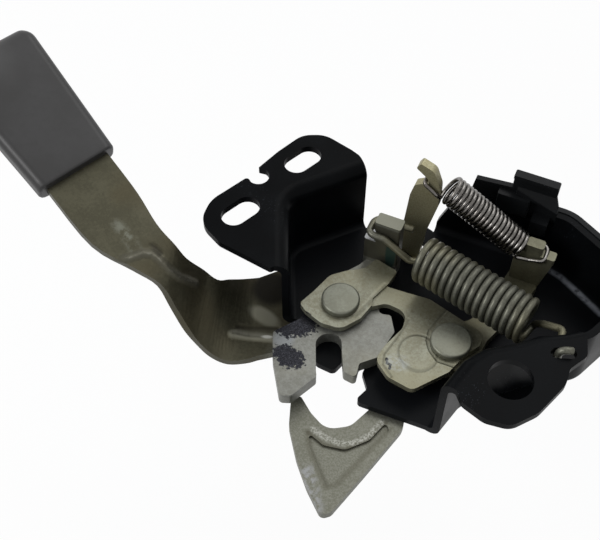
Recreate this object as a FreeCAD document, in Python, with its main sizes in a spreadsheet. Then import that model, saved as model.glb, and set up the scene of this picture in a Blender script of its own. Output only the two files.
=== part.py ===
import FreeCAD, Part
import math
import os

# Hood latch, shown open. Origin: the axis of the seated striker bar, at the top face of the bracket's floor.
# +Y is the way the striker enters the mouth, +Z is the open side of the bracket, along both pivots.
# Outlines are written from the claw's pivot, and each sub-part's Placement carries that pivot into the frame.

doc = FreeCAD.newDocument("HoodLatch")

SIZES = [
    ("seat_reach", 14.3), ("seat_drop", 7.0), ("pivot_span", 40.0),
    ("bracket_gauge", 2.6), ("ear_height", 31.0), ("back_wall_height", 20.0), ("side_wall_height", 26.0),
    ("bend_inside", 2.4), ("mouth_width", 7.8), ("bolt_slot_width", 8.8), ("bolt_slot_length", 14.6),
    ("round_hole_diameter", 14.0), ("spring_eye_width", 3.8), ("spring_eye_length", 8.0),
    ("claw_thickness", 5.0), ("claw_gap", 1.0), ("claw_throat_width", 8.8),
    ("claw_tab_top", 27.5), ("claw_ledge_top", 17.5), ("claw_hub_radius", 11.5),
    ("plate_gauge", 2.3), ("plate_gap", 1.2), ("plate_joggle", 0.8),
    ("pawl_thickness", 4.0), ("pawl_gap", 1.4), ("pawl_shoulder_top", 21.0), ("pawl_finger_top", 25.0),
    ("rivet_shank_radius", 4.0), ("rivet_head_height", 2.5), ("claw_head_radius", 6.6), ("pawl_head_radius", 7.0),
    ("rivet_shoulder_radius", 5.0), ("rivet_tail_height", 2.2), ("rivet_edge", 0.6),
    ("bush_wall", 2.0), ("running_clearance", 0.05), ("fixed_clearance", 0.02),
    ("washer_thickness", 0.6), ("washer_radius", 8.5),
    ("lever_gauge", 3.2), ("strip_gauge", 3.0), ("hook_recess_depth", 0.9), ("plate_boss_height", 0.5),
    ("cap_mouth_width", 30.3), ("cap_end_width", 36.0), ("cap_depth", 10.0), ("cap_length", 56.5),
    ("cap_corner", 3.5), ("cap_end_round", 5.0), ("cap_overlap", 26.0), ("strip_end_width", 24.5),
    ("main_wire", 2.5), ("main_coil", 16.4), ("main_turns", 16.0), ("main_hook_height", 21.6),
    ("small_wire", 1.4), ("small_coil", 11.6), ("small_turns", 19.0),
    ("guard_wall", 2.0), ("guard_foot", 6.0), ("guard_rim", 35.0), ("guard_tab_top", 38.0),
]

sheet = doc.addObject("Spreadsheet::Sheet", "Sizes")
for row, (alias, value) in enumerate(SIZES, start=1):
    sheet.set(f"A{row}", alias)
    sheet.set(f"B{row}", str(value))
    sheet.setAlias(f"B{row}", alias)
doc.recompute()


def size(alias):
    return float(sheet.get(alias))


span = size("pivot_span")
gauge = size("bracket_gauge")
ear_top = size("ear_height")
running = size("running_clearance")
fixed = size("fixed_clearance")
bush_radius = size("rivet_shank_radius") + size("bush_wall")
claw_floor = size("claw_gap")
claw_top = claw_floor + size("claw_thickness")
lobe_floor = claw_top + size("plate_gap")
plate_floor = lobe_floor - size("plate_joggle")
plate_gauge = size("plate_gauge")
lever_top = -gauge - size("washer_thickness")
lever_floor = lever_top - size("lever_gauge")
lever_middle = lever_floor + size("lever_gauge") / 2
CUT_SPARE = 1.0
WIRE_SIDES = 6
COIL_STEPS = 10
BEND_STEPS = 3
PIVOTS_DRAWN = [(0, 0), (40, 0)]
frame_place = FreeCAD.Placement(FreeCAD.Vector(-size("seat_reach"), size("seat_drop"), 0), FreeCAD.Rotation())


# Outline helpers

def rounded(corners):
    """Closed outline through corners (x, y, radius): straight edges joined by tangent arcs."""
    count = len(corners)
    points = [FreeCAD.Vector(c[0], c[1], 0) for c in corners]
    starts, ends, arcs = [], [], []
    for i, (x, y, radius) in enumerate(corners):
        here = points[i]
        back = points[i - 1] - here
        ahead = points[(i + 1) % count] - here
        room_back = back.Length * (0.5 if corners[i - 1][2] > 0 else 1.0)
        room_ahead = ahead.Length * (0.5 if corners[(i + 1) % count][2] > 0 else 1.0)
        room = min(room_back, room_ahead)
        back.normalize()
        ahead.normalize()
        half = back.getAngle(ahead) / 2
        reach = min(radius / math.tan(half), room) if radius > 0 and half < 1.569 else 0.0
        first = here + back * reach
        last = here + ahead * reach
        starts.append(first)
        ends.append(last)
        if reach > 1e-6:
            true_radius = reach * math.tan(half)
            bisector = back + ahead
            bisector.normalize()
            middle = here + bisector * (true_radius / math.sin(half) - true_radius)
            arcs.append(Part.Arc(first, middle, last))
        else:
            arcs.append(None)
    outline = []
    for i in range(count):
        if arcs[i] is not None:
            outline.append(arcs[i])
        following = starts[(i + 1) % count]
        if (following - ends[i]).Length > 1e-6:
            outline.append(Part.LineSegment(ends[i], following))
    return outline


def shifted(path, reach):
    """The open path (x, y, radius) moved to its own left, with its corner radii to match."""
    count = len(path)
    moved = []
    for i, (x, y, radius) in enumerate(path):
        here = FreeCAD.Vector(x, y, 0)
        into = here - FreeCAD.Vector(path[i - 1][0], path[i - 1][1], 0) if i > 0 else None
        out = FreeCAD.Vector(path[i + 1][0], path[i + 1][1], 0) - here if i < count - 1 else None
        into = into if into is not None else FreeCAD.Vector(out)
        out = out if out is not None else FreeCAD.Vector(into)
        into.normalize()
        out.normalize()
        left = FreeCAD.Vector(-into.y - out.y, into.x + out.x, 0)
        left.normalize()
        spot = here + left * (reach / left.dot(FreeCAD.Vector(-into.y, into.x, 0)))
        new_radius = radius - reach if into.cross(out).z > 0 else radius + reach
        moved.append((spot.x, spot.y, max(new_radius, 0.3) if radius > 0 else 0))
    return moved


def spread(corners):
    """Corners drawn between the drawn pivots, their x carried along where the pivot distance changes."""
    drawn = PIVOTS_DRAWN[1][0]
    return [(c[0] + (span - drawn) * min(max(c[0] / drawn, 0.0), 1.0),) + tuple(c[1:]) for c in corners]


def band(path, width):
    """Corners of a strip that follows path and has its width on the path's left."""
    return list(path) + shifted(path, width)[::-1]


def obround(x, y, length, width, degrees):
    """Slot outline centred on (x, y), its long way at an angle from +X."""
    along = FreeCAD.Vector(math.cos(math.radians(degrees)), math.sin(math.radians(degrees)), 0)
    side = FreeCAD.Vector(-along.y, along.x, 0)
    centre = FreeCAD.Vector(x, y, 0)
    reach = (length - width) / 2
    first, last = centre - along * reach, centre + along * reach
    radius = width / 2
    a, b = first - side * radius, last - side * radius
    c, d = last + side * radius, first + side * radius
    return [Part.LineSegment(a, b), Part.Arc(b, last + along * radius, c),
            Part.LineSegment(c, d), Part.Arc(d, first - along * radius, a)]


def rounded_path(points, radii):
    """Open path in space: straight runs joined by tangent arcs of the given radii."""
    edges = []
    here = points[0]
    for i in range(1, len(points) - 1):
        corner = points[i]
        back = points[i - 1] - corner
        ahead = points[i + 1] - corner
        back.normalize()
        ahead.normalize()
        half = back.getAngle(ahead) / 2
        reach = radii[i - 1] / math.tan(half)
        bisector = back + ahead
        bisector.normalize()
        middle = corner + bisector * (radii[i - 1] / math.sin(half) - radii[i - 1])
        edges.append(Part.LineSegment(here, corner + back * reach))
        edges.append(Part.Arc(corner + back * reach, middle, corner + ahead * reach))
        here = corner + ahead * reach
    edges.append(Part.LineSegment(here, points[-1]))
    return edges


def flat_path(path):
    """The open flat path (x, y, radius) as sketch geometry."""
    return rounded_path([FreeCAD.Vector(x, y, 0) for x, y, r in path], [r for x, y, r in path[1:-1]])


def circle(x, y, radius):
    return [Part.Circle(FreeCAD.Vector(x, y, 0), FreeCAD.Vector(0, 0, 1), radius)]


def arc_point(radius, degrees, centre_x=0.0, centre_y=0.0):
    turn = math.radians(degrees)
    return (centre_x + radius * math.cos(turn), centre_y + radius * math.sin(turn))


# Feature helpers

def new_body(label):
    body = doc.addObject("PartDesign::Body", label)
    body.Label = label
    body.Placement = frame_place
    return body


def plane_of(body, role):
    return [f for f in body.Origin.OriginFeatures if f.Role == role][0]


def sketch(body, name, geometry, lift=0.0, plane="XY_Plane", offset=None):
    """Sketch on one of the body's own planes, lifted along that plane's normal."""
    drawing = body.newObject("Sketcher::SketchObject", name)
    drawing.AttachmentSupport = (plane_of(body, plane), [""])
    drawing.MapMode = "FlatFace"
    if offset is None:
        offset = FreeCAD.Placement(FreeCAD.Vector(0, 0, lift), FreeCAD.Rotation())
    drawing.AttachmentOffset = offset
    drawing.addGeometry(geometry, False)
    return drawing


def volume(body):
    doc.recompute()
    return body.Shape.Volume


def pad(body, name, geometry, lift, length):
    """Adds material upwards from a lifted outline; length is a sheet expression."""
    drawing = sketch(body, name + "_outline", geometry, lift)
    feature = body.newObject("PartDesign::Pad", name)
    feature.Profile = drawing
    feature.setExpression("Length", length)
    doc.recompute()
    return feature


def pocket(body, name, geometry, lift, depth, plane="XY_Plane"):
    """Cuts from a lifted outline against its plane's normal, and makes sure that it did cut."""
    before = volume(body)
    drawing = sketch(body, name + "_outline", geometry, lift, plane)
    feature = body.newObject("PartDesign::Pocket", name)
    feature.Profile = drawing
    feature.Length = depth
    feature.Reversed = False
    after = volume(body)
    if not after < before - 1e-6:
        raise ValueError(name + " cuts nothing")
    return feature


def bent_wall(body, name, path, profile):
    """Sweeps a bent sheet's section along a flat path: its floor bend, wall and ear bend at once."""
    ahead = FreeCAD.Vector(path[1][0] - path[0][0], path[1][1] - path[0][1], 0)
    ahead.normalize()
    left = FreeCAD.Vector(-ahead.y, ahead.x, 0)
    spine = sketch(body, name + "_spine", flat_path(path))
    turn = FreeCAD.Rotation(left, FreeCAD.Vector(0, 0, 1), ahead, "XYZ")
    start = FreeCAD.Placement(FreeCAD.Vector(path[0][0], path[0][1], 0), turn)
    section = sketch(body, name + "_section", rounded(profile), offset=start)
    doc.recompute()
    pipe = body.newObject("PartDesign::AdditivePipe", name)
    pipe.Profile = section
    pipe.Spine = spine
    pipe.Mode = "Binormal"
    pipe.Binormal = FreeCAD.Vector(0, 0, 1)
    doc.recompute()
    return pipe


def solid_feature(label, shape, place=None):
    feature = doc.addObject("Part::Feature", label)
    feature.Label = label
    feature.Shape = shape
    feature.Placement = frame_place.multiply(place) if place is not None else frame_place
    return feature


# Base bracket: one black stamping with a floor, drawn walls and two bolt ears

inside = size("bend_inside")
outside = inside + gauge
LEFT_WALL = [(-15.5, -8, 0), (-28.5, 19.5, 8), (-8.5, 43, 0)]
BACK_CORNERS = spread([(17, 52.5, 0), (62, 52.5, 9), (87.5, 38, 9), (86, 24, 8), (80, 10.5, 8)])
EAR_CORNERS = spread([(73, 5.2, 8), (66, 1.3, 8), (60, -4.5, 8), (52, -10.2, 8), (47.5, -17, 8), (44.5, -28.5, 0)])
WALL_JOIN = (0.6 * BACK_CORNERS[-1][0] + 0.4 * EAR_CORNERS[0][0], 0.6 * BACK_CORNERS[-1][1] + 0.4 * EAR_CORNERS[0][1], 0)
BACK_WALL = BACK_CORNERS + [WALL_JOIN]
EAR_WALL = [WALL_JOIN] + EAR_CORNERS
RING_WALL = BACK_CORNERS + EAR_CORNERS
FLOOR = ([(17.4, -28.8, 1.5)] + shifted(RING_WALL, -inside)[::-1] + [(10, 52.5, 3), (-4, 48.5, 4)]
         + shifted(LEFT_WALL, -inside)[::-1] + [(0, -20.5, 3), (6.7, -21, 2), (10, -10, 0), (19.6, -22.8, 1)])
LEFT_EAR = shifted(LEFT_WALL, outside) + [
    (-13.5, 47.2, 3), (-17, 48.5, 6), (-28.5, 51.5, 9), (-36, 48, 8), (-40.5, 37, 4), (-43.4, 27.4, 2),
    (-45.6, 19.6, 3), (-51.9, 7, 12), (-50.9, -3.4, 9), (-41, -8.4, 6), (-20.8, -11.3, 1)]
RIGHT_EAR = shifted(EAR_WALL, outside) + spread([
    (52.1, -33.0, 4), (60, -35.6, 6), (67.8, -34.6, 6), (73.9, -27, 8), (78.6, -14.5, 6), (78.3, -8.5, 3), (82.0, -2.0, 3)])
EAR_FOOT = [(x, y, 0) for x, y, radius in EAR_CORNERS[1:3]]
EAR_FOOT_OUTLINE = [(x, y, 1.5) for x, y, radius in shifted(EAR_FOOT, -inside / 2)] + [
    (x, y, 2) for x, y, radius in shifted(EAR_FOOT, outside + inside)[::-1]]
SLOTS = [(-40.4, 6.5, 66.0), (-30.9, 37.0, 66.0)]
EAR_NOTCH = (-41.8, 23.5, 3.8)
ROUND_HOLE = spread([(63.0, -19.5)])[0]
SPRING_EYE = spread([(75.0, -3.9, 20.0)])[0]
MOUTH_PLAY = 0.3
ARM_WINDOW = (38.4, 46.6, 61.5, 93.0)


def ear_section():
    """Section of a wall with its floor bend and its ear bend: distance outwards, height."""
    return [(-inside, 0, 0), (0, 0, inside), (0, ear_top, outside), (outside, ear_top, 0),
            (outside, ear_top - gauge, 0), (gauge, ear_top - gauge, inside), (gauge, -gauge, outside),
            (-inside, -gauge, 0)]


def rim_section(top):
    """Section of a wall that ends in a plain upper edge."""
    return [(-inside, 0, 0), (0, 0, inside), (0, top, 0), (gauge, top, 0), (gauge, -gauge, outside),
            (-inside, -gauge, 0)]


def mouth_outline(width):
    """Slot for the striker: its right edge runs up from the front to beside the seat, its left edge keeps the width."""
    seat_x, seat_y = size("seat_reach"), -size("seat_drop")
    beside = seat_x + width / 2 + MOUTH_PLAY
    above = seat_y + width / 2 + MOUTH_PLAY
    right = [(seat_x + 0.7, -45.0, 0), (seat_x + 1.7, -22.0, 3), (seat_x + 1.5, -15.6, 5), (beside, -9.5, 5), (beside, above, 3)]
    left = [(x, y, 3 if y > seat_y else radius) for x, y, radius in shifted(right, width)]
    return rounded(right + left[::-1])


def ring_sector(inner, outer, first, last):
    """Slot between two radii and two angles round the claw's pivot."""
    def spot(radius, degrees):
        x, y = arc_point(radius, degrees)
        return FreeCAD.Vector(x, y, 0)
    middle = (first + last) / 2
    return [Part.Arc(spot(outer, first), spot(outer, middle), spot(outer, last)),
            Part.LineSegment(spot(outer, last), spot(inner, last)),
            Part.Arc(spot(inner, last), spot(inner, middle), spot(inner, first)),
            Part.LineSegment(spot(inner, first), spot(outer, first))]


def make_bracket():
    body = new_body("base_bracket")
    pad(body, "floor", rounded(FLOOR), -gauge, "Sizes.bracket_gauge")
    through = gauge + 2 * CUT_SPARE
    pocket(body, "mouth", mouth_outline(size("mouth_width")), CUT_SPARE, through)
    pocket(body, "arm_window", ring_sector(*ARM_WINDOW), CUT_SPARE, through)
    for i, x in enumerate((0, span), start=1):
        pocket(body, f"rivet_hole_{i}", circle(x, 0, size("rivet_shank_radius") + fixed), CUT_SPARE, through)
    bent_wall(body, "left_wall", LEFT_WALL, ear_section())
    bent_wall(body, "back_wall", BACK_WALL, rim_section(size("side_wall_height")))
    bent_wall(body, "ear_wall", EAR_WALL, ear_section())
    pad(body, "ear_foot", rounded(EAR_FOOT_OUTLINE), -gauge, "Sizes.bracket_gauge")
    pad(body, "left_ear", rounded(LEFT_EAR), ear_top - gauge, "Sizes.bracket_gauge")
    pad(body, "right_ear", rounded(RIGHT_EAR), ear_top - gauge, "Sizes.bracket_gauge")
    drop = size("side_wall_height") - size("back_wall_height")
    wall_start, wall_y = BACK_CORNERS[0][:2]
    rim_end = BACK_CORNERS[1][0] - 4.0
    low_rim = [(wall_start - 7, wall_y - 3, 0), (rim_end, wall_y - 3, 0), (rim_end, wall_y + outside, 0),
               (wall_start - 7, wall_y + outside, 0)]
    pocket(body, "back_rim", rounded(low_rim), size("side_wall_height") + CUT_SPARE, drop + CUT_SPARE)
    pocket(body, "back_end", rounded([(16, 0.5, 0), (25.5, 27, 0), (10, 27, 0), (10, 0.5, 0)]), -49, 9, "XZ_Plane")
    above = ear_top + CUT_SPARE
    for i, (x, y, turn) in enumerate(SLOTS, start=1):
        slot = obround(x, y, size("bolt_slot_length"), size("bolt_slot_width"), turn)
        pocket(body, f"bolt_slot_{i}", slot, above, through)
    pocket(body, "ear_notch", circle(*EAR_NOTCH), above, through)
    pocket(body, "round_hole", circle(*ROUND_HOLE, size("round_hole_diameter") / 2), above, through)
    gap = spread([(70.0, 20.5, 1.5), (78.6, 20.5, 1.5), (78.6, ear_top - gauge, 0), (70.0, ear_top - gauge, 0)])
    pocket(body, "spring_window", rounded(gap), 1.0, 11, "XZ_Plane")
    x, y, turn = SPRING_EYE
    pocket(body, "spring_eye", obround(x, y, size("spring_eye_length"), size("spring_eye_width"), turn), above, through)
    return body


# Front plate: zinc plate over claw and pawl, its left lobe stepped up over the claw

PLATE_RIGHT = spread([(6.2, 13.8, 0), (12.9, 13.2, 1), (19, 13.5, 6), (27.5, 14.2, 5), (43, 9.8, 4), (49.2, 8.0, 3),
               (49.2, 3.0, 3), (46, -2, 5), (43.2, -10.8, 4), (34.5, -22.2, 3), (25.5, -20.8, 4), (19.2, -16, 4),
               (20.3, -9.5, 5), (23.2, -1.0, 5), (22.3, 5.6, 4.2), (14.5, 6.4, 4.5), (9.6, 2.4, 1), (6.2, 2.4, 0)])
PLATE_LOBE = [(-12.6, -6.2, 1.5), (-10.2, 0.5, 6), (-7.8, 9, 5), (-3, 13.4, 5), (2.0, 16.6, 5), (4.4, 22.4, 1),
              (13.2, 20.2, 1), (12.2, 13.6, 0.5), (9.6, 6, 0), (10.4, 3.0, 1), (8.9, -3.5, 3), (4.5, -10.2, 5),
              (-2.5, -10.8, 6), (-9.5, -8.4, 4)]
PLATE_BOSS = spread([(31.2, -9.9, 5.6)])[0]


def make_front_plate():
    body = new_body("front_plate")
    pad(body, "right_part", rounded(PLATE_RIGHT), plate_floor, "Sizes.plate_gauge")
    pad(body, "claw_lobe", rounded(PLATE_LOBE), lobe_floor, "Sizes.plate_gauge")
    pad(body, "boss", circle(*PLATE_BOSS), plate_floor + plate_gauge, "Sizes.plate_boss_height")
    for i, x in enumerate((0, span), start=1):
        top = lobe_floor + plate_gauge
        pocket(body, f"rivet_hole_{i}", circle(x, 0, size("rivet_shank_radius") + fixed), top, plate_gauge + 2)
    return body


# Pivots: stepped rivets, each through a bush that keeps the plate off the floor

def make_rivet(label, x, head_radius, plate_top, tail_top, shoulder):
    """Revolved rivet: chamfered head, shank, optional shoulder under the floor and a set tail."""
    shank = size("rivet_shank_radius")
    head = size("rivet_head_height")
    tail = size("rivet_tail_height")
    edge = size("rivet_edge")
    top = plate_top + head
    profile = [(0, top, 0), (head_radius - edge, top, 0), (head_radius, top - edge, 0), (head_radius, plate_top, 0),
               (shank, plate_top, 0)]
    if shoulder > 0:
        profile += [(shank, -gauge, 0), (shoulder, -gauge, 0), (shoulder, tail_top, 0)]
    else:
        profile += [(shank, tail_top, 0)]
    tail_radius = head_radius - 1.0
    low = tail_top - tail
    profile += [(tail_radius, tail_top, 0), (tail_radius, low + edge, 0), (tail_radius - edge, low, 0), (0, low, 0)]
    body = new_body(label)
    drawing = body.newObject("Sketcher::SketchObject", "profile")
    drawing.AttachmentSupport = (plane_of(body, "XZ_Plane"), [""])
    drawing.MapMode = "FlatFace"
    drawing.addGeometry(rounded(profile), False)
    turned = body.newObject("PartDesign::Revolution", "turned")
    turned.Profile = drawing
    turned.ReferenceAxis = (drawing, ["V_Axis"])
    turned.Angle = 360
    doc.recompute()
    body.Placement = FreeCAD.Placement(frame_place.Base + FreeCAD.Vector(x, 0, 0), FreeCAD.Rotation())
    return body


def make_bush(label, x, height_expression):
    body = new_body(label)
    pad(body, "ring", circle(0, 0, bush_radius), 0, height_expression)
    top = body.Shape.BoundBox.ZMax
    pocket(body, "bore", circle(0, 0, size("rivet_shank_radius") + fixed), top, top)
    body.Placement = FreeCAD.Placement(frame_place.Base + FreeCAD.Vector(x, 0, 0), FreeCAD.Rotation())
    return body


# Latch claw: thick zinc plate with the striker's throat, and a spring tab bent up at its far end

CLAW_THROAT = (2.4, -15.6)
CLAW_SLOT_TURN = 24.3


def claw_outline():
    hub = size("claw_hub_radius")
    turn = math.radians(CLAW_SLOT_TURN)
    down = FreeCAD.Vector(math.sin(turn), -math.cos(turn), 0)
    side = FreeCAD.Vector(-down.y, down.x, 0)
    half = size("claw_throat_width") / 2
    throat = FreeCAD.Vector(CLAW_THROAT[0], CLAW_THROAT[1], 0)
    top_left = throat - down * 4.4 - side * half
    top_right = throat - down * 4.4 + side * half
    left_low = throat + down * 10 - side * half
    right_low = throat + down * 3.0 + side * half
    return rounded([
        (-hub, 2, 8), (-10.5, -9.5, 3), (-17.0, -18.6, 1.5), (-12.6, -28.2, 2), (-4.6, -40.2, 1.6),
        (-1.0, -38.8, 1.6), (3.6, -28.6, 1.5), (left_low.x, left_low.y, 2),
        (top_left.x, top_left.y, half - 0.1), (top_right.x, top_right.y, half - 0.1),
        (right_low.x, right_low.y, 4), (11.0, -23.3, 1.6), (15.6, -23.8, 1.2), (14.6, -18.2, 1.5),
        (19.2, -13.6, 1.5), (20.8, -1.8, 1), (17.2, 4.2, 1.2), (12.6, 3.0, 2), (11.5, 12, 6), (11.6, 28.4, 0),
        (2.2, 28.4, 0), (-1, 20, 6), (-8.5, 9, 8)])


def make_claw():
    body = new_body("latch_claw")
    pad(body, "plate", claw_outline(), claw_floor, "Sizes.claw_thickness")
    thick = size("claw_thickness")
    tab = [(2.2, 28.4, 0.8), (2.2, 28.4 - thick, 0.8), (11.6, 28.4 - thick, 0.8), (11.6, 28.4, 0.8)]
    pad(body, "tab", rounded(tab), claw_floor, "Sizes.claw_tab_top - Sizes.claw_gap")
    ledge = [(-1.2, 28.4, 0.8), (-1.2, 28.4 - thick, 0.8), (4, 28.4 - thick, 0), (4, 28.4, 0)]
    pad(body, "ledge", rounded(ledge), claw_floor, "Sizes.claw_ledge_top - Sizes.claw_gap")
    hook_height = size("main_hook_height")
    groove = size("main_wire") / 2 + 0.2
    notch = [(-3, hook_height - groove, 0), (4.6, hook_height - groove, 1.0), (4.6, hook_height + groove, 1.0),
             (-3, hook_height + groove, 0)]
    pocket(body, "notch", rounded(notch), -22, 8, "XZ_Plane")
    pocket(body, "bore", circle(0, 0, bush_radius + running), claw_top + CUT_SPARE, size("claw_thickness") + CUT_SPARE * 2)
    return body


# Pawl: catch lever on the right pivot, its far end bent up into a spring finger

PAWL_WALL_BACK = 41.5

def make_pawl():
    body = new_body("pawl")
    floor = size("pawl_gap")
    outline = rounded(spread([
        (27.6, 6.6, 1), (27.7, 1.6, 1), (33, -7.5, 5), (41, -10.2, 7), (50, -3, 7), (50.5, 8, 6), (56.0, 24, 6),
        (59.4, 36, 2), (59.4, 41.5, 0), (48.8, 41.5, 0), (47.6, 34, 3), (43, 14, 6), (36, 9.5, 4)]))
    pad(body, "plate", outline, floor, "Sizes.pawl_thickness")
    thick = size("pawl_thickness")
    back, front = PAWL_WALL_BACK, PAWL_WALL_BACK - thick
    wall = spread([(48.8, back, 0.8), (48.8, front, 0.8), (62.6, front, 0.8), (62.6, back, 0.8)])
    pad(body, "shoulder", rounded(wall), floor, "Sizes.pawl_shoulder_top - Sizes.pawl_gap")
    finger = spread([(51.7, back, 1.2), (51.7, front, 1.2), (58.0, front, 1.2), (58.0, back, 1.2)])
    pad(body, "finger", rounded(finger), floor, "Sizes.pawl_finger_top - Sizes.pawl_gap")
    top = size("pawl_shoulder_top")
    slant = spread([(59.4, -1, 0), (66, -1, 0), (66, top - 2, 0), (62.4, top - 2, 1.5), (59.4, 4, 0)])
    pocket(body, "slanted_side", rounded(slant), -front + CUT_SPARE, thick + 2 * CUT_SPARE, "XZ_Plane")
    pocket(body, "bore", circle(span, 0, bush_radius + running), floor + thick + CUT_SPARE, thick + 2 * CUT_SPARE)
    return body


# Safety lever: one long zinc stamping under the floor, with the hook, the spring arm and the handle strip

ARM_BACK = 41.5
ARM = [(6.8, lever_floor, 0), (8.0, 12.2, 20), (9.2, 30.0, 8), (10.4, 35.2, 1.5), (13.4, 37.2, 3), (15.5, 37.6, 1.2),
       (14.6, 40.2, 3), (10.2, 43.6, 0.8), (11.6, 46.2, 0.8), (16.6, 44.2, 3), (19.2, 37.6, 6), (19.7, 28.5, 10),
       (16.2, 10.0, 10), (15.2, lever_floor, 0)]
HOOK_RECESS = spread([(7.6, -44.2, 0.8), (14.0, -46.4, 3), (21.1, -45.0, 4), (27.0, -38.5, 4), (29.6, -30.2, 1),
                      (31.6, -32.8, 1), (23.3, -57.6, 1.6), (20.6, -59.4, 1.2), (10.2, -48.9, 2)])


def make_lever():
    body = new_body("lever_plate")
    outline = rounded(spread([
        (-20, 14.0, 6), (-29.5, 11.6, 3), (-34.4, 6.0, 0), (-21.4, -25.2, 0), (-15.6, -20.6, 3), (-8.0, -20.6, 6),
        (0.5, -14.5, 6), (8.4, -7.5, 5), (8.4, 9.0, 3), (14, 14.5, 6), (22.5, 12.5, 6), (25.4, -2, 10),
        (22.5, -28.5, 4), (19.4, -36.3, 6), (12.5, -40.8, 6), (5.5, -37.2, 5), (-0.4, -32.6, 1), (-2.4, -36.0, 2),
        (0.8, -44.5, 10), (8.0, -54.4, 20), (15.0, -62.0, 20), (22.8, -68.8, 3), (25.4, -66.6, 3),
        (29.8, -51.0, 30), (35.4, -30.0, 8), (31.5, -12, 10), (30.0, 0, 12), (27.5, 17, 12), (17.0, 30, 4),
        (15.2, ARM_BACK, 0), (6.8, ARM_BACK, 0), (6.6, 28, 6), (-6, 14.5, 8)]))
    pad(body, "plate", outline, lever_floor, "Sizes.lever_gauge")
    arm = sketch(body, "arm_outline", rounded(ARM), -ARM_BACK, "XZ_Plane")
    feature = body.newObject("PartDesign::Pad", "arm")
    feature.Profile = arm
    feature.setExpression("Length", "Sizes.lever_gauge")
    doc.recompute()
    depth = size("hook_recess_depth")
    pocket(body, "hook_recess", rounded(HOOK_RECESS), lever_top + CUT_SPARE, depth + CUT_SPARE)
    thick = size("lever_gauge")
    bore = circle(0, 0, size("rivet_shoulder_radius") + running)
    pocket(body, "bore", bore, lever_top + CUT_SPARE, thick + 2 * CUT_SPARE)
    return body


# Handle strip stations: the strip's upper and lower edge points, from the claw's pivot
STRIP = [
    ((-33.6, 6.6, -4.8), (-20.6, -24.6, -4.8)),
    ((-36.2, 5.0, -4.7), (-23.4, -27.2, -4.8)),
    ((-39.4, 1.2, -2.0), (-28.4, -30.2, -4.6)),
    ((-42.2, -4.0, 3.2), (-33.6, -30.8, -4.0)),
    ((-44.4, -8.0, 7.0), (-38.4, -30.6, -1.2)),
    ((-49.6, -8.4, 10.4), (-43.6, -29.9, 4.6)),
    ((-54.0, -11.4, 18.4), (-49.6, -27.6, 11.8)),
    ((-58.4, -10.9, 23.8), (-55.6, -25.5, 19.6)),
    ((-65.3, -8.3, 27.0), (-64.7, -26.1, 24.4)),
    ((-75.9, -1.6, 30.8), (-80.1, -25.6, 28.6)),
]
STRIP_END = (-94.4, -6.4, 41.0)
STRIP_AHEAD = (-0.856, 0.389, 0.340)
STRIP_ACROSS = (-109.0, -4.4)
STRIP_BEFORE_CAP = 2.2


def direction(heading, tilt):
    turn, lean = math.radians(heading), math.radians(tilt)
    return FreeCAD.Vector(math.cos(turn) * math.cos(lean), math.sin(turn) * math.cos(lean), math.sin(lean))


def strip_section(centre, width, across, ahead):
    """Flat section of the strip at a station, its thin way square to the width and the way ahead."""
    across.normalize()
    normal = ahead.cross(across)
    normal.normalize()
    half, thin = across * (width / 2), normal * (size("strip_gauge") / 2)
    corners = [centre - half - thin, centre + half - thin, centre + half + thin, centre - half + thin]
    return Part.makePolygon(corners + corners[:1])


def eased(values, i, t):
    """Smooth curve through the stations: value a share t of the way from station i to the next."""
    before, here = values[max(i - 1, 0)], values[i]
    after, far = values[i + 1], values[min(i + 2, len(values) - 1)]
    slope_here, slope_after = (after - before) * 0.5, (far - here) * 0.5
    return (here * (2 * t ** 3 - 3 * t ** 2 + 1) + slope_here * (t ** 3 - 2 * t ** 2 + t)
            + after * (3 * t ** 2 - 2 * t ** 3) + slope_after * (t ** 3 - t ** 2))


def strip_end_frame():
    """Where the strip's straight end begins, which way it runs and which way its width lies."""
    ahead = FreeCAD.Vector(*STRIP_AHEAD)
    ahead.normalize()
    across = direction(*STRIP_ACROSS)
    across = across - ahead * across.dot(ahead)
    across.normalize()
    return FreeCAD.Vector(*STRIP_END) + FreeCAD.Vector(0, 0, lever_middle), ahead, across


def make_strip():
    """Twisted run through the stations, then a straight end for the cap."""
    end, ahead, across = strip_end_frame()
    half = across * (size("strip_end_width") / 2)
    uppers = [FreeCAD.Vector(*upper) for upper, lower in STRIP] + [end - half, end - half + ahead * 12]
    lowers = [FreeCAD.Vector(*lower) for upper, lower in STRIP] + [end + half, end + half + ahead * 12]
    steps = 4
    spots = [(i, k / steps) for i in range(len(STRIP)) for k in range(steps)]
    edges = [(eased(uppers, i, t), eased(lowers, i, t)) for i, t in spots] + [(uppers[-2], lowers[-2])]
    points = [(upper + lower) * 0.5 for upper, lower in edges]
    wires = []
    for n, (upper, lower) in enumerate(edges[:-1]):
        way = points[n + 1] - points[max(n - 1, 0)]
        wires.append(strip_section(points[n], (lower - upper).Length, lower - upper, way))
    straight = STRIP_BEFORE_CAP + size("cap_overlap")
    wires.append(strip_section(end, size("strip_end_width"), across, ahead))
    wires.append(strip_section(end + ahead * straight, size("strip_end_width"), across, ahead))
    return Part.makeLoft(wires, True, True)


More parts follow.
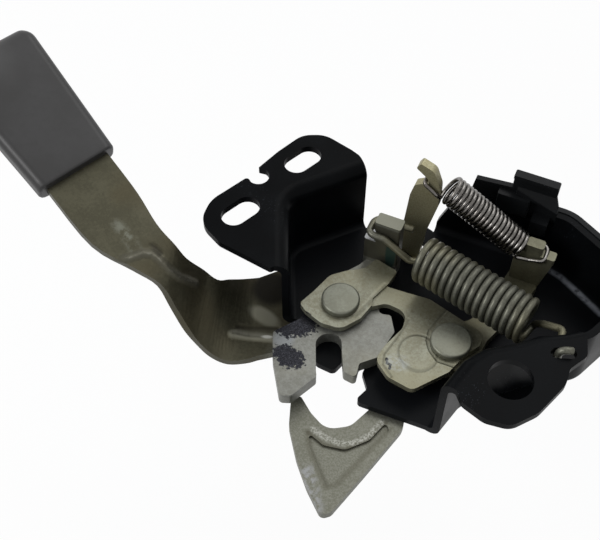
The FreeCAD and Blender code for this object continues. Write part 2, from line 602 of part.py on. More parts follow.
def make_cap():
    """Grey handle cap: a tapered block with a rounded far end and a slot that the strip's end fills."""
    end, ahead, across = strip_end_frame()
    body = new_body("lever_cap")
    depth, corner, length = size("cap_depth"), size("cap_corner"), size("cap_length")
    turned = size("cap_end_round")
    taper = (size("cap_end_width") - size("cap_mouth_width")) / length
    lifts = [(0.0, 0.8), (0.8, 0.0), (length - turned, 0.0)]
    lifts += [(length - turned + turned * math.sin(a), turned * (1 - math.cos(a)) * 0.85) for a in (0.6, 1.05, 1.35)]
    drawings = []
    for i, (lift, inset) in enumerate(lifts, start=1):
        x, y = (size("cap_mouth_width") + taper * lift) / 2 - inset, depth / 2 - inset
        outline = [(-x, -y, corner), (x, -y, corner), (x, y, corner), (-x, y, corner)]
        outline = [(px, py, min(corner, y * 0.8)) for px, py, radius in outline]
        drawings.append(sketch(body, f"section_{i}", rounded(outline), lift))
    doc.recompute()
    block = body.newObject("PartDesign::AdditiveLoft", "block")
    block.Profile = drawings[0]
    block.Sections = drawings[1:]
    block.Ruled = True
    doc.recompute()
    x, y = size("strip_end_width") / 2 + fixed, size("strip_gauge") / 2 + fixed
    slot = rounded([(-x, -y, 0), (x, -y, 0), (x, y, 0), (-x, y, 0)])
    depth_in = size("cap_overlap") + 0.1
    pocket(body, "slot", slot, depth_in, depth_in + CUT_SPARE)
    turn = FreeCAD.Rotation(across, ahead.cross(across), ahead, "XYZ")
    mouth = end + ahead * STRIP_BEFORE_CAP
    body.Placement = frame_place.multiply(FreeCAD.Placement(mouth, turn))
    return body


# Cable guard: black plastic rim clipped over the back wall

def make_guard():
    body = new_body("cable_guard")
    wall, foot = size("guard_wall"), size("guard_foot")
    path = spread([(24.0, 52.5, 0), (62, 52.5, 9), (79.8, 42.4, 0)])
    outer = shifted(path, gauge + fixed)
    pad(body, "panel", rounded(band(outer, wall)), foot, "Sizes.guard_rim - Sizes.guard_foot")
    pocket(body, "rim_left", rounded([(20, 28.4, 0), (40.5, 30.8, 0), (57.6, 31.6, 0), (57.6, 37, 0), (20, 37, 0)]),
           -50, 20, "XZ_Plane")
    pocket(body, "rim_right", rounded([(58.5, 36.0, 0), (86, 25.0, 0), (86, 37, 0), (58.5, 37, 0)]),
           -30, 40, "XZ_Plane")
    pocket(body, "left_end", rounded([(20, 5, 0), (23.8, 5, 0), (28.0, 32, 0), (20, 32, 0)]), -50, 20, "XZ_Plane")
    back = 52.5 + gauge + fixed
    tab = [(40.5, back, 0.6), (56.2, back, 0.6), (56.2, back + wall, 0.6), (40.5, back + wall, 0.6)]
    pad(body, "tab", rounded(tab), foot, "Sizes.guard_tab_top - Sizes.guard_foot")
    rim = size("back_wall_height")
    for i, x in enumerate((28.5, 50.0), start=1):
        bridge = [(x, 52.5 - wall, 0), (x + 6, 52.5 - wall, 0), (x + 6, back + wall / 2, 0), (x, back + wall / 2, 0)]
        pad(body, f"clip_{i}", rounded(bridge), rim + fixed, "Sizes.guard_wall")
        lip = [(x, 52.5 - wall, 0.5), (x + 6, 52.5 - wall, 0.5), (x + 6, 52.5 - fixed, 0), (x, 52.5 - fixed, 0)]
        pad(body, f"lip_{i}", rounded(lip), rim - 4.0, "4 + Sizes.guard_wall / 2")
    lip = [(40.5, back - 1.2, 0), (56.2, back - 1.2, 0), (56.2, back + wall / 2, 0), (40.5, back + wall / 2, 0)]
    pad(body, "tab_lip", rounded(lip), size("guard_tab_top") - 1.6, "1.6")
    step = [(36.5, back - 3.0, 0.6), (48.0, back - 3.0, 0.6), (48.0, back + wall / 2, 0), (36.5, back + wall / 2, 0)]
    pad(body, "step", rounded(step), rim + 1.0, "8")
    ridge = [(42.5, back - 1.6, 0.5), (58.0, back - 1.6, 0.5), (58.0, back + wall / 2, 0), (42.5, back + wall / 2, 0)]
    pad(body, "ridge", rounded(ridge), size("guard_rim") - 5.2, "2.2")
    return body


def make_washer():
    body = new_body("lever_washer")
    pad(body, "ring", circle(0, 0, size("washer_radius")), lever_top, "Sizes.washer_thickness")
    pocket(body, "bore", circle(0, 0, size("rivet_shoulder_radius") + running), -gauge, size("washer_thickness"))
    return body


def sampled_path(edges, steps):
    """Points and ways ahead along an open run of edges: straight ones at their ends, curved ones in steps."""
    spots = []
    for edge, count in zip(edges, steps):
        for k in range(count + 1):
            value = edge.FirstParameter + (edge.LastParameter - edge.FirstParameter) * k / count
            spots.append((edge.valueAt(value), edge.tangentAt(value)))
    kept = [spots[0]]
    for spot, way in spots[1:]:
        if (spot - kept[-1][0]).Length > 1e-4:
            kept.append((spot, way))
    return kept


def hooked_spring(label, start, end, coil, wire, turns, spin, first_hook, last_hook):
    """Extension spring: close coils from start to end, each end run on into a rounded hook.

    The hooks are (point, radius) lists from the claw's pivot, in order away from the coils. The wire is a
    loft of six-sided sections, each turned on from the one before so that the sides stay in line.
    """
    along = end - start
    radius = (coil - wire) / 2
    turn = FreeCAD.Rotation(FreeCAD.Vector(0, 0, 1), along)
    turn = turn.multiply(FreeCAD.Rotation(FreeCAD.Vector(0, 0, 1), spin))
    place = FreeCAD.Placement(start, turn)
    local = place.inverse()
    pitch = along.Length / turns
    slope = math.atan2(pitch, 2 * math.pi * radius)
    heading = FreeCAD.Vector(0, math.cos(slope), math.sin(slope))
    first = FreeCAD.Vector(radius, 0, 0)
    ending = math.radians(360 * turns)
    last = FreeCAD.Vector(radius * math.cos(ending), radius * math.sin(ending), along.Length)
    leaving = FreeCAD.Rotation(FreeCAD.Vector(0, 0, 1), 360 * turns).multVec(heading)
    run = wire * 1.2
    before = [first, first - heading * run] + [local.multVec(FreeCAD.Vector(*p)) for p, r in first_hook]
    after = [last, last + leaving * run] + [local.multVec(FreeCAD.Vector(*p)) for p, r in last_hook]
    head = [piece.toShape() for piece in rounded_path(before, [wire * 0.9] + [r for p, r in first_hook])]
    tail = [piece.toShape() for piece in rounded_path(after, [wire * 0.9] + [r for p, r in last_hook])]
    head_spots = sampled_path(head, [1 if i % 2 == 0 else BEND_STEPS for i in range(len(head))])
    tail_spots = sampled_path(tail, [1 if i % 2 == 0 else BEND_STEPS for i in range(len(tail))])
    spots = [(spot, way * -1) for spot, way in head_spots[::-1]]
    count = int(round(turns * COIL_STEPS))
    for k in range(1, count):
        angle = ending * k / count
        spot = FreeCAD.Vector(radius * math.cos(angle), radius * math.sin(angle), along.Length * k / count)
        spots.append((spot, FreeCAD.Rotation(FreeCAD.Vector(0, 0, 1), math.degrees(angle)).multVec(heading)))
    spots += tail_spots
    side = spots[0][1].cross(FreeCAD.Vector(0.3, 0.2, 1))
    wires = []
    for spot, way in spots:
        side = side - way * side.dot(way)
        side.normalize()
        other = way.cross(side)
        corners = [spot + (side * math.cos(a) + other * math.sin(a)) * (wire / 2)
                   for a in (math.radians(360 / WIRE_SIDES * k) for k in range(WIRE_SIDES))]
        wires.append(Part.makePolygon(corners + corners[:1]))
    return solid_feature(label, Part.makeLoft(wires, True, True), place)


bracket = make_bracket()
front_plate = make_front_plate()
lobe_top = lobe_floor + plate_gauge
claw_rivet = make_rivet("claw_rivet", 0, size("claw_head_radius"), lobe_top, lever_floor - 0.2,
                        size("rivet_shoulder_radius"))
pawl_rivet = make_rivet("pawl_rivet", span, size("pawl_head_radius"), plate_floor + plate_gauge, -gauge, 0)
claw_bush = make_bush("claw_bush", 0, "Sizes.claw_gap + Sizes.claw_thickness + Sizes.plate_gap")
pawl_bush = make_bush("pawl_bush", span,
                      "Sizes.claw_gap + Sizes.claw_thickness + Sizes.plate_gap - Sizes.plate_joggle")
claw = make_claw()
pawl = make_pawl()
lever_plate = make_lever()
strip = solid_feature("handle_strip", make_strip())
lever = doc.addObject("Part::MultiFuse", "safety_lever")
lever.Label = "safety_lever"
lever.Shapes = [lever_plate, strip]
cap = make_cap()
guard = make_guard()
washer = make_washer()
hook_z = size("main_hook_height")


def placed(x, y, z):
    """A point in space, carried along with the pivot distance."""
    return FreeCAD.Vector(*spread([(x, y, z)])[0])


main_spring = hooked_spring(
    "main_spring", placed(21.6, 20.0, 21.5), placed(61.9, 9.6, 21.6), size("main_coil"),
    size("main_wire"), size("main_turns"), 90.0,
    [((13.2, 22.0, hook_z), 2.0), ((0.6, 22.0, hook_z), 3.4), ((0.6, 29.8, hook_z), 3.4), ((14.5, 29.8, hook_z), 0)],
    [(tuple(placed(66.2, 9.2, 23.4)), 2.4), (tuple(placed(73.0, 6.2, 25.6)), 2.6), (tuple(placed(73.6, -4.5, 25.6)), 2.4),
     (tuple(placed(73.6, -4.5, 32.7)), 1.9), (tuple(placed(77.6, -3.1, 32.7)), 0)])
small_spring = hooked_spring(
    "lever_spring", placed(23.3, 40.2, 36.1), placed(48.0, 39.8, 21.5), size("small_coil"),
    size("small_wire"), size("small_turns"), 180.0,
    [((19.0, 37.3, 39.2), 1.0), ((13.8, 37.3, 39.2), 1.2), ((13.8, 42.6, 39.2), 1.2), ((17.6, 42.6, 39.2), 0)],
    [(tuple(placed(49.8, 36.4, 22.2)), 0.8), (tuple(placed(59.0, 36.4, 22.8)), 2.2),
     (tuple(placed(59.0, 42.7, 22.8)), 2.2), (tuple(placed(52.6, 42.7, 22.8)), 0)])

nodes = [bracket, front_plate, claw_rivet, pawl_rivet, claw_bush, pawl_bush, claw, pawl, lever, cap, washer, guard,
         main_spring, small_spring]
doc.recompute()
for item in doc.Objects:
    if "Invalid" in item.State or "Error" in item.State:
        raise ValueError(item.Name + " failed: " + str(item.State))
os.makedirs("parts", exist_ok=True)
for node in nodes:
    shape = node.Shape
    if shape.isNull() or not shape.isValid():
        raise ValueError(node.Label + " has no valid shape")
    shape.exportStep("parts/" + node.Label + ".step")
    box = shape.BoundBox
    print(node.Label, len(shape.Solids), "solids", round(shape.Volume), "mm3", [round(v, 1) for v in (
        box.XMin, box.YMin, box.ZMin, box.XMax, box.YMax, box.ZMax)])
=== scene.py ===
# %% [markdown]
# # Hood latch in its looks
#
# This lesson dresses them. Everything stays in the latch's own frame: metres, origin at the seated
# striker bar, +Z out of the bracket.

# %% Load the frame
import bpy
import bmesh
import math
import numpy as np
from mathutils import Matrix, Vector


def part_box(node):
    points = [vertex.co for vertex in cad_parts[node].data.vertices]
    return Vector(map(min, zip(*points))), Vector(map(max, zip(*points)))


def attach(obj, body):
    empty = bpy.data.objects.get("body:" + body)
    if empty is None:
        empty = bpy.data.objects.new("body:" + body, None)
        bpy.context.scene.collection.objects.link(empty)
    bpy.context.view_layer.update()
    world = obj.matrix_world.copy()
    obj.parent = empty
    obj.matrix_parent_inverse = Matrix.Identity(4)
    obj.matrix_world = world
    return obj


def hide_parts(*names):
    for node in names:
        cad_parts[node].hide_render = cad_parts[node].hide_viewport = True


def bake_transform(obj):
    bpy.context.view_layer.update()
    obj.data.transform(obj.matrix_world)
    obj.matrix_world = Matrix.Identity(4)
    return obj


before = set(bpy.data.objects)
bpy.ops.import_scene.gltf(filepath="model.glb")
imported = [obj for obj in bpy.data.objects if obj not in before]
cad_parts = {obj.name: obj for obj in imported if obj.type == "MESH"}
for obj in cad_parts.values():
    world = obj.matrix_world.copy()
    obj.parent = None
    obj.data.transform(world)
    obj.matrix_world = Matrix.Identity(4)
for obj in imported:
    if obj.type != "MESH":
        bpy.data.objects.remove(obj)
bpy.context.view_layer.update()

# %% [markdown]
# ## Places on the latch
#
# The drawing of this latch measures from the claw's rivet, in millimetres. `at` turns such a place into
# the frame's metres, so that hooks, wear marks and creases can be written as a maker would measure
# them. `route` does so for the points of a line, and `level` for points that all lie at one height.

# %% Millimetres from the claw's rivet
MM = 0.001
claw_low, claw_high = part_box("claw_rivet")
CLAW_PIVOT = ((claw_low[0] + claw_high[0]) / 2, (claw_low[1] + claw_high[1]) / 2)


def at(x, y, z):
    """Frame coordinates of a place in millimetres from the claw's rivet, z above the bracket's floor."""
    return np.array([CLAW_PIVOT[0] + x * MM, CLAW_PIVOT[1] + y * MM, z * MM])


def route(*places):
    """Frame coordinates of the points of a line."""
    return [at(*place) for place in places]


def level(z, *places):
    """Frame coordinates of points that all lie z millimetres high."""
    return [at(x, y, z) for x, y in places]


print("claw pivot:", [round(value, 4) for value in CLAW_PIVOT])

# %% [markdown]
# ## Shader maths that reads like maths
#
# A finish is worked out from noise, masks and distances. Written node by node that is hard to read, so
# a small class wraps one output of a node and gives it the usual operators. `1 - mask` and `mask * 0.3`
# then add their Math nodes by themselves. A `Board` is the node tree that they are added to.

# %% One output of a node, with operators
class Signal:
    """One socket of a node tree; sums written on it add Math nodes."""

    def __init__(self, board, socket):
        self.board = board
        self.socket = socket

    def math(self, operation, *others):
        return self.board.node("Math", {"operation": operation}, dict(enumerate([self, *others])))

    def __add__(self, other):
        return self.math("ADD", other)

    def __sub__(self, other):
        return self.math("SUBTRACT", other)

    def __rsub__(self, other):
        return self.board.node("Math", {"operation": "SUBTRACT"}, {0: other, 1: self})

    def __mul__(self, other):
        return self.math("MULTIPLY", other)

    def __rmul__(self, other):
        return self.math("MULTIPLY", other)

    def most(self, other):
        return self.math("MAXIMUM", other)

    def least(self, other):
        return self.math("MINIMUM", other)

    def between(self, low, high):
        """0 below low, 1 above high and a soft slope between."""
        return self.board.node("MapRange", {"interpolation_type": "SMOOTHSTEP", "clamp": True},
                               {"Value": self, "From Min": low, "From Max": high,
                                "To Min": 0.0, "To Max": 1.0})

    def fading(self, low, high):
        """1 below low, 0 above high and a soft slope between."""
        return 1 - self.between(low, high)


class Board:
    """A node tree that nodes are added to by kind."""

    def __init__(self, tree):
        self.tree = tree

    def node(self, kind, settings, values, output=0):
        """Adds a node of a kind, with its settings first and then its sockets' values or links."""
        made = self.tree.nodes.new("ShaderNode" + kind)
        for key, value in settings.items():
            setattr(made, key, value)
        for key, value in values.items():
            self.feed(made.inputs[key], value)
        return Signal(self, made.outputs[output])

    def feed(self, socket, value):
        """Links a signal to a socket, or writes a plain value into it."""
        if isinstance(value, Signal):
            self.tree.links.new(value.socket, socket)
        else:
            socket.default_value = value


print("Signal and Board are ready")

# %% [markdown]
# ## A finish in coats
#
# Real plating and paint lie in coats: a base, cloudy places over it, then wear and dirt. A `Finish` is
# made the same way. It starts as one colour and each coat is laid over what is there, where a mask says
# so. Masks are noise, distances to a line or an ellipsoid, and heights, all in the latch's own
# coordinates, so that a mark stays where it was measured and no picture has to be wrapped round the
# part. Noise is counted in waves a metre: 1000 gives grains of about a millimetre.

# %% Finish
class Finish(Board):
    """A material with one Principled shader, built up in coats."""

    def __init__(self, name, colour, **constants):
        self.material = bpy.data.materials.new(name)
        self.material.use_nodes = True
        super().__init__(self.material.node_tree)
        self.shader = self.tree.nodes["Principled BSDF"]
        for socket, value in constants.items():
            self.set(socket.replace("_", " "), value)
        self.spot = self.node("TexCoord", {}, {}, output="Object")
        self.colour = (*colour, 1.0)
        self.set("Base Color", self.colour)

    def set(self, socket, value):
        self.feed(self.shader.inputs[socket], value)

    def vector(self, operation, *values, output=0):
        return self.node("VectorMath", {"operation": operation}, dict(enumerate(values)), output)

    def noise(self, scale, detail=3.0, rough=0.55):
        """Soft noise between 0 and 1, in so many waves a metre."""
        return self.node("TexNoise", {"noise_dimensions": "3D"},
                         {"Vector": self.spot, "Scale": scale, "Detail": detail, "Roughness": rough})

    def past(self, axis, low, high):
        """0 before low and 1 beyond high along X, Y or Z, in millimetres as `at` takes them."""
        number = "XYZ".index(axis)
        along = self.node("SeparateXYZ", {}, {"Vector": self.spot}, output=axis)
        return along.between(at(low, low, low)[number], at(high, high, high)[number])

    def inside(self, centre, reach, turn=0.0):
        """How far out a point lies: 0 at an ellipsoid's centre, 1 on its skin. Reach in millimetres."""
        local = self.node("Mapping", {"vector_type": "TEXTURE"},
                          {"Vector": self.spot, "Location": tuple(centre),
                           "Rotation": (0.0, 0.0, math.radians(turn)),
                           "Scale": tuple(r * MM for r in reach)})
        return self.vector("LENGTH", local, output="Value")

    def from_line(self, points):
        """Distance in millimetres to a broken line: the least of the distances to its runs.

        A run's nearest point lies at its share (offset . run) / (run . run), kept between 0 and 1.
        """
        least = None
        for start, end in zip(points, points[1:]):
            run = end - start
            offset = self.vector("SUBTRACT", self.spot, tuple(start))
            share = self.vector("DOT_PRODUCT", offset, tuple(run / (run @ run)), output="Value")
            nearest = self.node("VectorMath", {"operation": "SCALE"},
                                {0: tuple(run), "Scale": share.most(0.0).least(1.0)})
            beside = self.vector("SUBTRACT", offset, nearest)
            away = self.vector("LENGTH", beside, output="Value") * (1 / MM)
            least = away if least is None else least.least(away)
        return least

    def blend(self, share, first, second):
        """Colour first where share is 0, second where it is 1."""
        return self.node("Mix", {"data_type": "RGBA"}, {0: share, 6: first, 7: second}, output=2)

    def coat(self, share, colour):
        """Lays a colour over what is there, as strongly as share says."""
        self.colour = self.blend(share, self.colour, (*colour, 1.0))
        self.set("Base Color", self.colour)

    def bump(self, height):
        """Raises the surface by a height in millimetres."""
        self.set("Normal", self.node("Bump", {}, {"Height": height, "Distance": MM, "Strength": 1.0}))


print("Finish is ready")

# %% [markdown]
# ## Black paint and black plastic
#
# The bracket is dip painted: deep black, with a faint orange peel, a few dust specks baked in, and soft
# sheen at its bends. Black reflects little, so its specular level is low and the lamps draw the bends.
# The cable guard is a moulded plastic of nearly the same black, duller and a little lighter, so one
# function makes both. The bracket's lowest parts are a little greyer, and the crease at the foot of its
# far wall carries a painted highlight mixed with dust.

# %% Black finishes
SPECK = (0.05, 0.055, 0.065)
LOW_GREY = (0.0062, 0.0068, 0.0078)
SHEEN_AND_DUST = (0.19, 0.2, 0.22)


def painted_black(name, shade, rough, sheen):
    """Black with cloudy lighter places, rare specks and a faint orange peel."""
    paint = Finish(name, shade, Metallic=0.0, Specular_IOR_Level=sheen)
    peel = paint.noise(900.0, 2.0)
    cloud = paint.noise(60.0, 3.0)
    specks = paint.noise(2400.0, 1.0).between(0.69, 0.76) * paint.noise(45.0, 2.0).between(0.5, 0.62)
    paint.coat(cloud.between(0.35, 0.7), tuple(c * 1.6 for c in shade))
    paint.coat(specks, SPECK)
    paint.set("Roughness", cloud * 0.2 + rough)
    paint.bump(peel * 0.012)
    return paint


black_paint = painted_black("black_paint", (0.0022, 0.0025, 0.0029), 0.24, 0.035)
black_plastic = painted_black("black_plastic", (0.0055, 0.006, 0.0065), 0.34, 0.1)
black_paint.coat((1 - black_paint.past("Z", 1.0, 3.0)) * 0.9, LOW_GREY)
# Painted highlight mixed with dust along the crease at the foot of the far wall.
crease_sheen_and_dust = black_paint.from_line(level(0.6, (58.0, 51.2), (66.0, 48.6), (74.0, 44.0), (83.0, 38.6)))
sheen_and_dust_cover = black_paint.noise(260.0, 4.0, 0.7).between(0.25, 0.55)
black_paint.coat(crease_sheen_and_dust.fading(0.3, 1.5) * sheen_and_dust_cover * 0.95, SHEEN_AND_DUST)
print("black finishes:", black_paint.material.name, black_plastic.material.name)

# %% [markdown]
# ## Zinc plate
#
# Zinc with a yellow passivation is a soft metal colour, a little olive. It is cloudy where the bath
# took differently, finely speckled, and warmer in patches. One function makes the layers and each part
# gives its own light, dark and warm colours, because every part came from its own batch. The lever's
# colours are also darker as painted shade for its sloped strip.

# %% Zinc finishes
def zinc(name, light, dark, warm, rough, metal=0.65, grain=900.0, warmth=0.5):
    """Plated steel: light clouds and grain over dark, warm patches, and dark grit."""
    plate = Finish(name, dark, Metallic=metal)
    cloud = plate.noise(85.0, 4.0, 0.6)
    fine = plate.noise(grain, 3.0, 0.65)
    grit = plate.noise(grain * 3, 1.0)
    plate.coat((cloud * 0.45 + fine * 0.4 + grit * 0.15).between(0.4, 0.6), light)
    plate.coat(plate.noise(38.0, 2.0).between(0.42, 0.66) * warmth, warm)
    plate.coat(grit.between(0.64, 0.74) * 0.5, tuple(c * 0.45 for c in dark))
    plate.set("Roughness", fine * 0.2 + rough)
    plate.bump(fine * 0.01)
    return plate


OLIVE = (0.165, 0.15, 0.085)
WIRE_GRAIN = 1500.0
zinc_plate = zinc("zinc_plate", (0.225, 0.228, 0.178), (0.14, 0.135, 0.095), OLIVE, 0.3)
rivet_steel = zinc("rivet_steel", (0.19, 0.195, 0.158), (0.14, 0.142, 0.11), OLIVE, 0.34, warmth=0.2)
bush_steel = zinc("bush_steel", (0.3, 0.3, 0.27), (0.2, 0.2, 0.18), OLIVE, 0.35)
claw_zinc = zinc("claw_zinc", (0.21, 0.213, 0.195), (0.14, 0.14, 0.122), OLIVE, 0.36, warmth=0.25)
pawl_zinc = zinc("pawl_zinc", (0.15, 0.146, 0.1), (0.1, 0.096, 0.063), OLIVE, 0.36)
# The lever is darker than the other zinc parts, partly as painted shade for its sloped strip.
lever_zinc = zinc("lever_zinc", (0.072, 0.068, 0.045), (0.052, 0.049, 0.032), (0.06, 0.05, 0.028), 0.34)
lever_zinc.set("Specular IOR Level", 0.2)
main_spring_wire = zinc("main_spring_wire", (0.12, 0.12, 0.095), (0.07, 0.07, 0.054), OLIVE, 0.3,
                        grain=WIRE_GRAIN)
lever_spring_wire = zinc("lever_spring_wire", (0.22, 0.212, 0.2), (0.12, 0.113, 0.105),
                         (0.12, 0.106, 0.096), 0.14, metal=1.0, grain=WIRE_GRAIN)
print("zinc finishes:", [m.name for m in bpy.data.materials if "zinc" in m.name])

# %% [markdown]
# ## Wear and painted shade on the claw
#
# Two patches of dark grease residue lie on the claw's arm, torn into threads at their edges. Each is an
# ellipse whose edge is pushed in and out by noise. Inside it the black is broken by blue grey threads,
# which are the places where a second noise passes its middle value. Between them the metal is rubbed
# paler. The spring tab has painted shade over it and painted light on its top edge, and carries one
# bright line and a green patch.

# %% Grease patches and the claw's tab
CLAW_TOP, TAB_TOP = 6.0, 26.4
GREASE, THREAD, RUBBED = (0.004, 0.004, 0.007), (0.05, 0.053, 0.065), (0.21, 0.225, 0.24)
TAB_SHADE, TAB_TOP_LIT = (0.055, 0.052, 0.034), (0.15, 0.15, 0.115)
BRIGHT_LINE, GREEN = (0.3, 0.305, 0.31), (0.006, 0.04, 0.036)


def grease_patch(finish, centre, reach, turn):
    """A black patch with torn edges and pale threads in it."""
    torn = finish.inside(at(*centre, CLAW_TOP), reach, turn) + finish.noise(650.0, 3.0, 0.7) * 1.5 - 0.75
    cover = torn.fading(0.86, 0.98)
    thread = (finish.noise(1500.0, 1.0) - 0.5).math("ABSOLUTE").fading(0.012, 0.045)
    finish.coat(cover, GREASE)
    finish.coat(cover * thread * 0.7, THREAD)


def box_share(finish, low, high, soft=1.0):
    """1 between two corners, 0 outside, with a slope soft wide on every side; all in millimetres."""
    share = 1.0
    for axis, least, most in zip("XYZ", low, high):
        share = share * finish.past(axis, least - soft, least) * (1 - finish.past(axis, most, most + soft))
    return share


claw_zinc.coat(claw_zinc.inside(at(-12.5, -20.0, CLAW_TOP), (4.5, 4.0, 4.0)).fading(0.5, 1.1) * 0.6, RUBBED)
grease_patch(claw_zinc, (-11.0, -11.8), (9.4, 6.4, 3.0), 38.0)
grease_patch(claw_zinc, (-8.0, -25.4), (6.4, 4.4, 3.0), -12.0)
# Painted shade over the spring tab, then painted light on its top edge.
claw_zinc.coat(box_share(claw_zinc, (-2.0, 20.0, 8.0), (14.0, 34.0, 25.8)) * 0.85, TAB_SHADE)
claw_zinc.coat(claw_zinc.past("Z", TAB_TOP, TAB_TOP + 0.6) * 0.8, TAB_TOP_LIT)
claw_zinc.coat(box_share(claw_zinc, (-6.0, 22.0, 17.3), (3.0, 31.0, 17.7), 0.2), BRIGHT_LINE)
claw_zinc.coat(claw_zinc.inside(at(9.0, 23.3, 13.0), (2.2, 2.5, 10.0)).fading(0.7, 1.0) * 0.75, GREEN)
print("claw finish nodes:", len(claw_zinc.tree.nodes))

# %% [markdown]
# ## Creases in the front plate
#
# The press left soft lines in the front plate: a collar beside the pawl's rivet, the outline of the
# boss, a crease beside the claw's lobe and a rolled lip along the throat. They are too shallow for the
# solid, so each is a distance to a line or an ellipse, turned into a soft rise and a thin painted shade.

# %% Plate creases
PLATE_TOP, LOBE_TOP = 8.7, 9.5
crease = zinc_plate.from_line(level(LOBE_TOP, (6.7, -3.1), (11.3, 12.9)))
collar = zinc_plate.from_line(level(PLATE_TOP, (34.4, 12.2), (32.8, 6.6), (31.7, 2.2), (32.4, -2.2),
                                    (34.6, -5.8), (38.4, -8.4), (44.5, -8.2)))
boss_outline = (zinc_plate.inside(at(31.2, -8.0, PLATE_TOP), (6.6, 7.2, 60.0), 20.0) - 1).math("ABSOLUTE")
lip = zinc_plate.from_line(level(PLATE_TOP, (23.9, 3.2), (23.5, 0.1), (22.5, -6.1), (21.1, -13.2),
                                 (22.2, -17.2), (26.4, -20.2)))
# Painted shade along each line of the press.
for line, full, gone, strength, shade in ((boss_outline, 0.02, 0.09, 0.5, (0.1, 0.098, 0.07)),
                                          (collar, 0.1, 0.5, 0.55, (0.1, 0.098, 0.07)),
                                          (crease, 0.1, 0.5, 0.35, (0.11, 0.106, 0.076)),
                                          (lip, 0.05, 0.4, 0.5, (0.09, 0.086, 0.06))):
    zinc_plate.coat(line.fading(full, gone) * strength, shade)
rise = zinc_plate.noise(900.0, 3.0, 0.65) * 0.012
for line, width, height in ((boss_outline, 0.12, 0.1), (collar, 0.7, 0.16), (crease, 1.4, 0.1),
                            (lip, 0.8, 0.12)):
    rise = rise + line.between(0.0, width) * height
zinc_plate.bump(rise)
print("plate finish nodes:", len(zinc_plate.tree.nodes))

# %% [markdown]
# ## Nick, chips and a rubbed patch
#
# Beside the throat the plate has a short black nick, at the lobe's corner a few chips, and below the
# boss the zinc is rubbed pale. A distance to a line would give a smooth mark, so noise is added to it
# before it is turned into a mask, and the mark's edge breaks up.

# %% Plate wear
nick = zinc_plate.from_line(level(PLATE_TOP, (22.7, -14.5), (23.4, -15.9), (24.6, -16.2), (25.0, -17.5)))
chips = zinc_plate.from_line(level(LOBE_TOP, (-13.4, -5.9), (-10.4, -8.0), (-7.6, -9.4)))
rubbed = zinc_plate.inside(at(26.5, -14.5, PLATE_TOP), (5.0, 4.0, 4.0)).fading(0.5, 1.1)
zinc_plate.coat((nick + zinc_plate.noise(1200.0) * 0.9).fading(0.85, 1.0), (0.004, 0.004, 0.005))
zinc_plate.coat((chips + zinc_plate.noise(1400.0, 2.0) * 4.0).fading(2.1, 2.3), (0.012, 0.012, 0.014))
zinc_plate.coat(rubbed * zinc_plate.noise(700.0, 3.0, 0.7).between(0.36, 0.6) * 0.55, (0.27, 0.285, 0.275))
print("plate finish nodes:", len(zinc_plate.tree.nodes))

# %% [markdown]
# ## The lever's hook end and spring arm
#
# The safety lever is one long strip of plate. Its hook end lies flat, and it and the arm that holds the
# small spring get painted light: they are coloured paler than the rest. Two slopes along X and Y pick
# out the hook end, one along Y the arm, and a fine noise mottles both.

# %% Hook end and arm
def streaks_of(finish, scale):
    """Uneven cover for rubbed places and painted highlights: the upper half of a noise."""
    return finish.noise(scale, 4.0, 0.65).between(0.42, 0.6)


mottle = lever_zinc.noise(1700.0, 3.0, 0.7).between(0.38, 0.62)
# Painted light on the hook end and on the spring arm.
lit_hook_end = (1 - lever_zinc.past("Y", -22.0, -12.0)) * lever_zinc.past("X", -20.0, -12.0)
lever_zinc.coat(lit_hook_end, (0.12, 0.12, 0.094))
lever_zinc.coat(lit_hook_end * mottle, (0.165, 0.165, 0.138))
lit_arm = lever_zinc.past("Y", 16.0, 22.0)
lever_zinc.coat(lit_arm, (0.26, 0.235, 0.14))
lever_zinc.coat(lit_arm * mottle, (0.33, 0.31, 0.2))
print("lever finish nodes:", len(lever_zinc.tree.nodes))

# %% [markdown]
# ## The hook's recess
#
# A recess is pressed into the hook. The solid has its walls; the finish paints their light and shade: a
# painted highlight on the rim on the side of the throat and painted shade along its edges. The hook's
# outer edge is worn pale.

# %% Recess
LEVER_TOP, RECESS_FLOOR = -3.2, -3.6
rim_highlight = lever_zinc.from_line(level(LEVER_TOP, (8.5, -42.4), (13.5, -43.6), (18.3, -43.6), (23.0, -41.4),
                                 (26.2, -37.2), (28.2, -31.0)))
throat_edge_shade = lever_zinc.from_line(level(RECESS_FLOOR, (7.6, -44.2), (14.0, -46.2), (21.1, -45.0),
                                         (27.0, -38.5), (29.6, -30.2)))
sides = lever_zinc.from_line(level(RECESS_FLOOR, (31.2, -32.8), (23.2, -57.2), (20.6, -59.2), (10.2, -48.9),
                                   (7.6, -44.2)))
# Painted shade along the recess's edges and sides, then a painted highlight on its rim.
lever_zinc.coat(sides.fading(0.5, 1.9) * 0.45, (0.07, 0.066, 0.046))
lever_zinc.coat(throat_edge_shade.fading(0.4, 1.2) * 0.6, (0.06, 0.056, 0.04))
lever_zinc.coat(rim_highlight.fading(0.3, 1.5) * mottle * 0.8, (0.34, 0.34, 0.31))
worn_corner = lever_zinc.from_line(level(LEVER_TOP, (13.0, -57.0), (20.0, -67.0))).fading(0.5, 4.0)
lever_zinc.coat(worn_corner * streaks_of(lever_zinc, 420.0) * 0.7, (0.27, 0.275, 0.285))
print("lever finish nodes:", len(lever_zinc.tree.nodes))
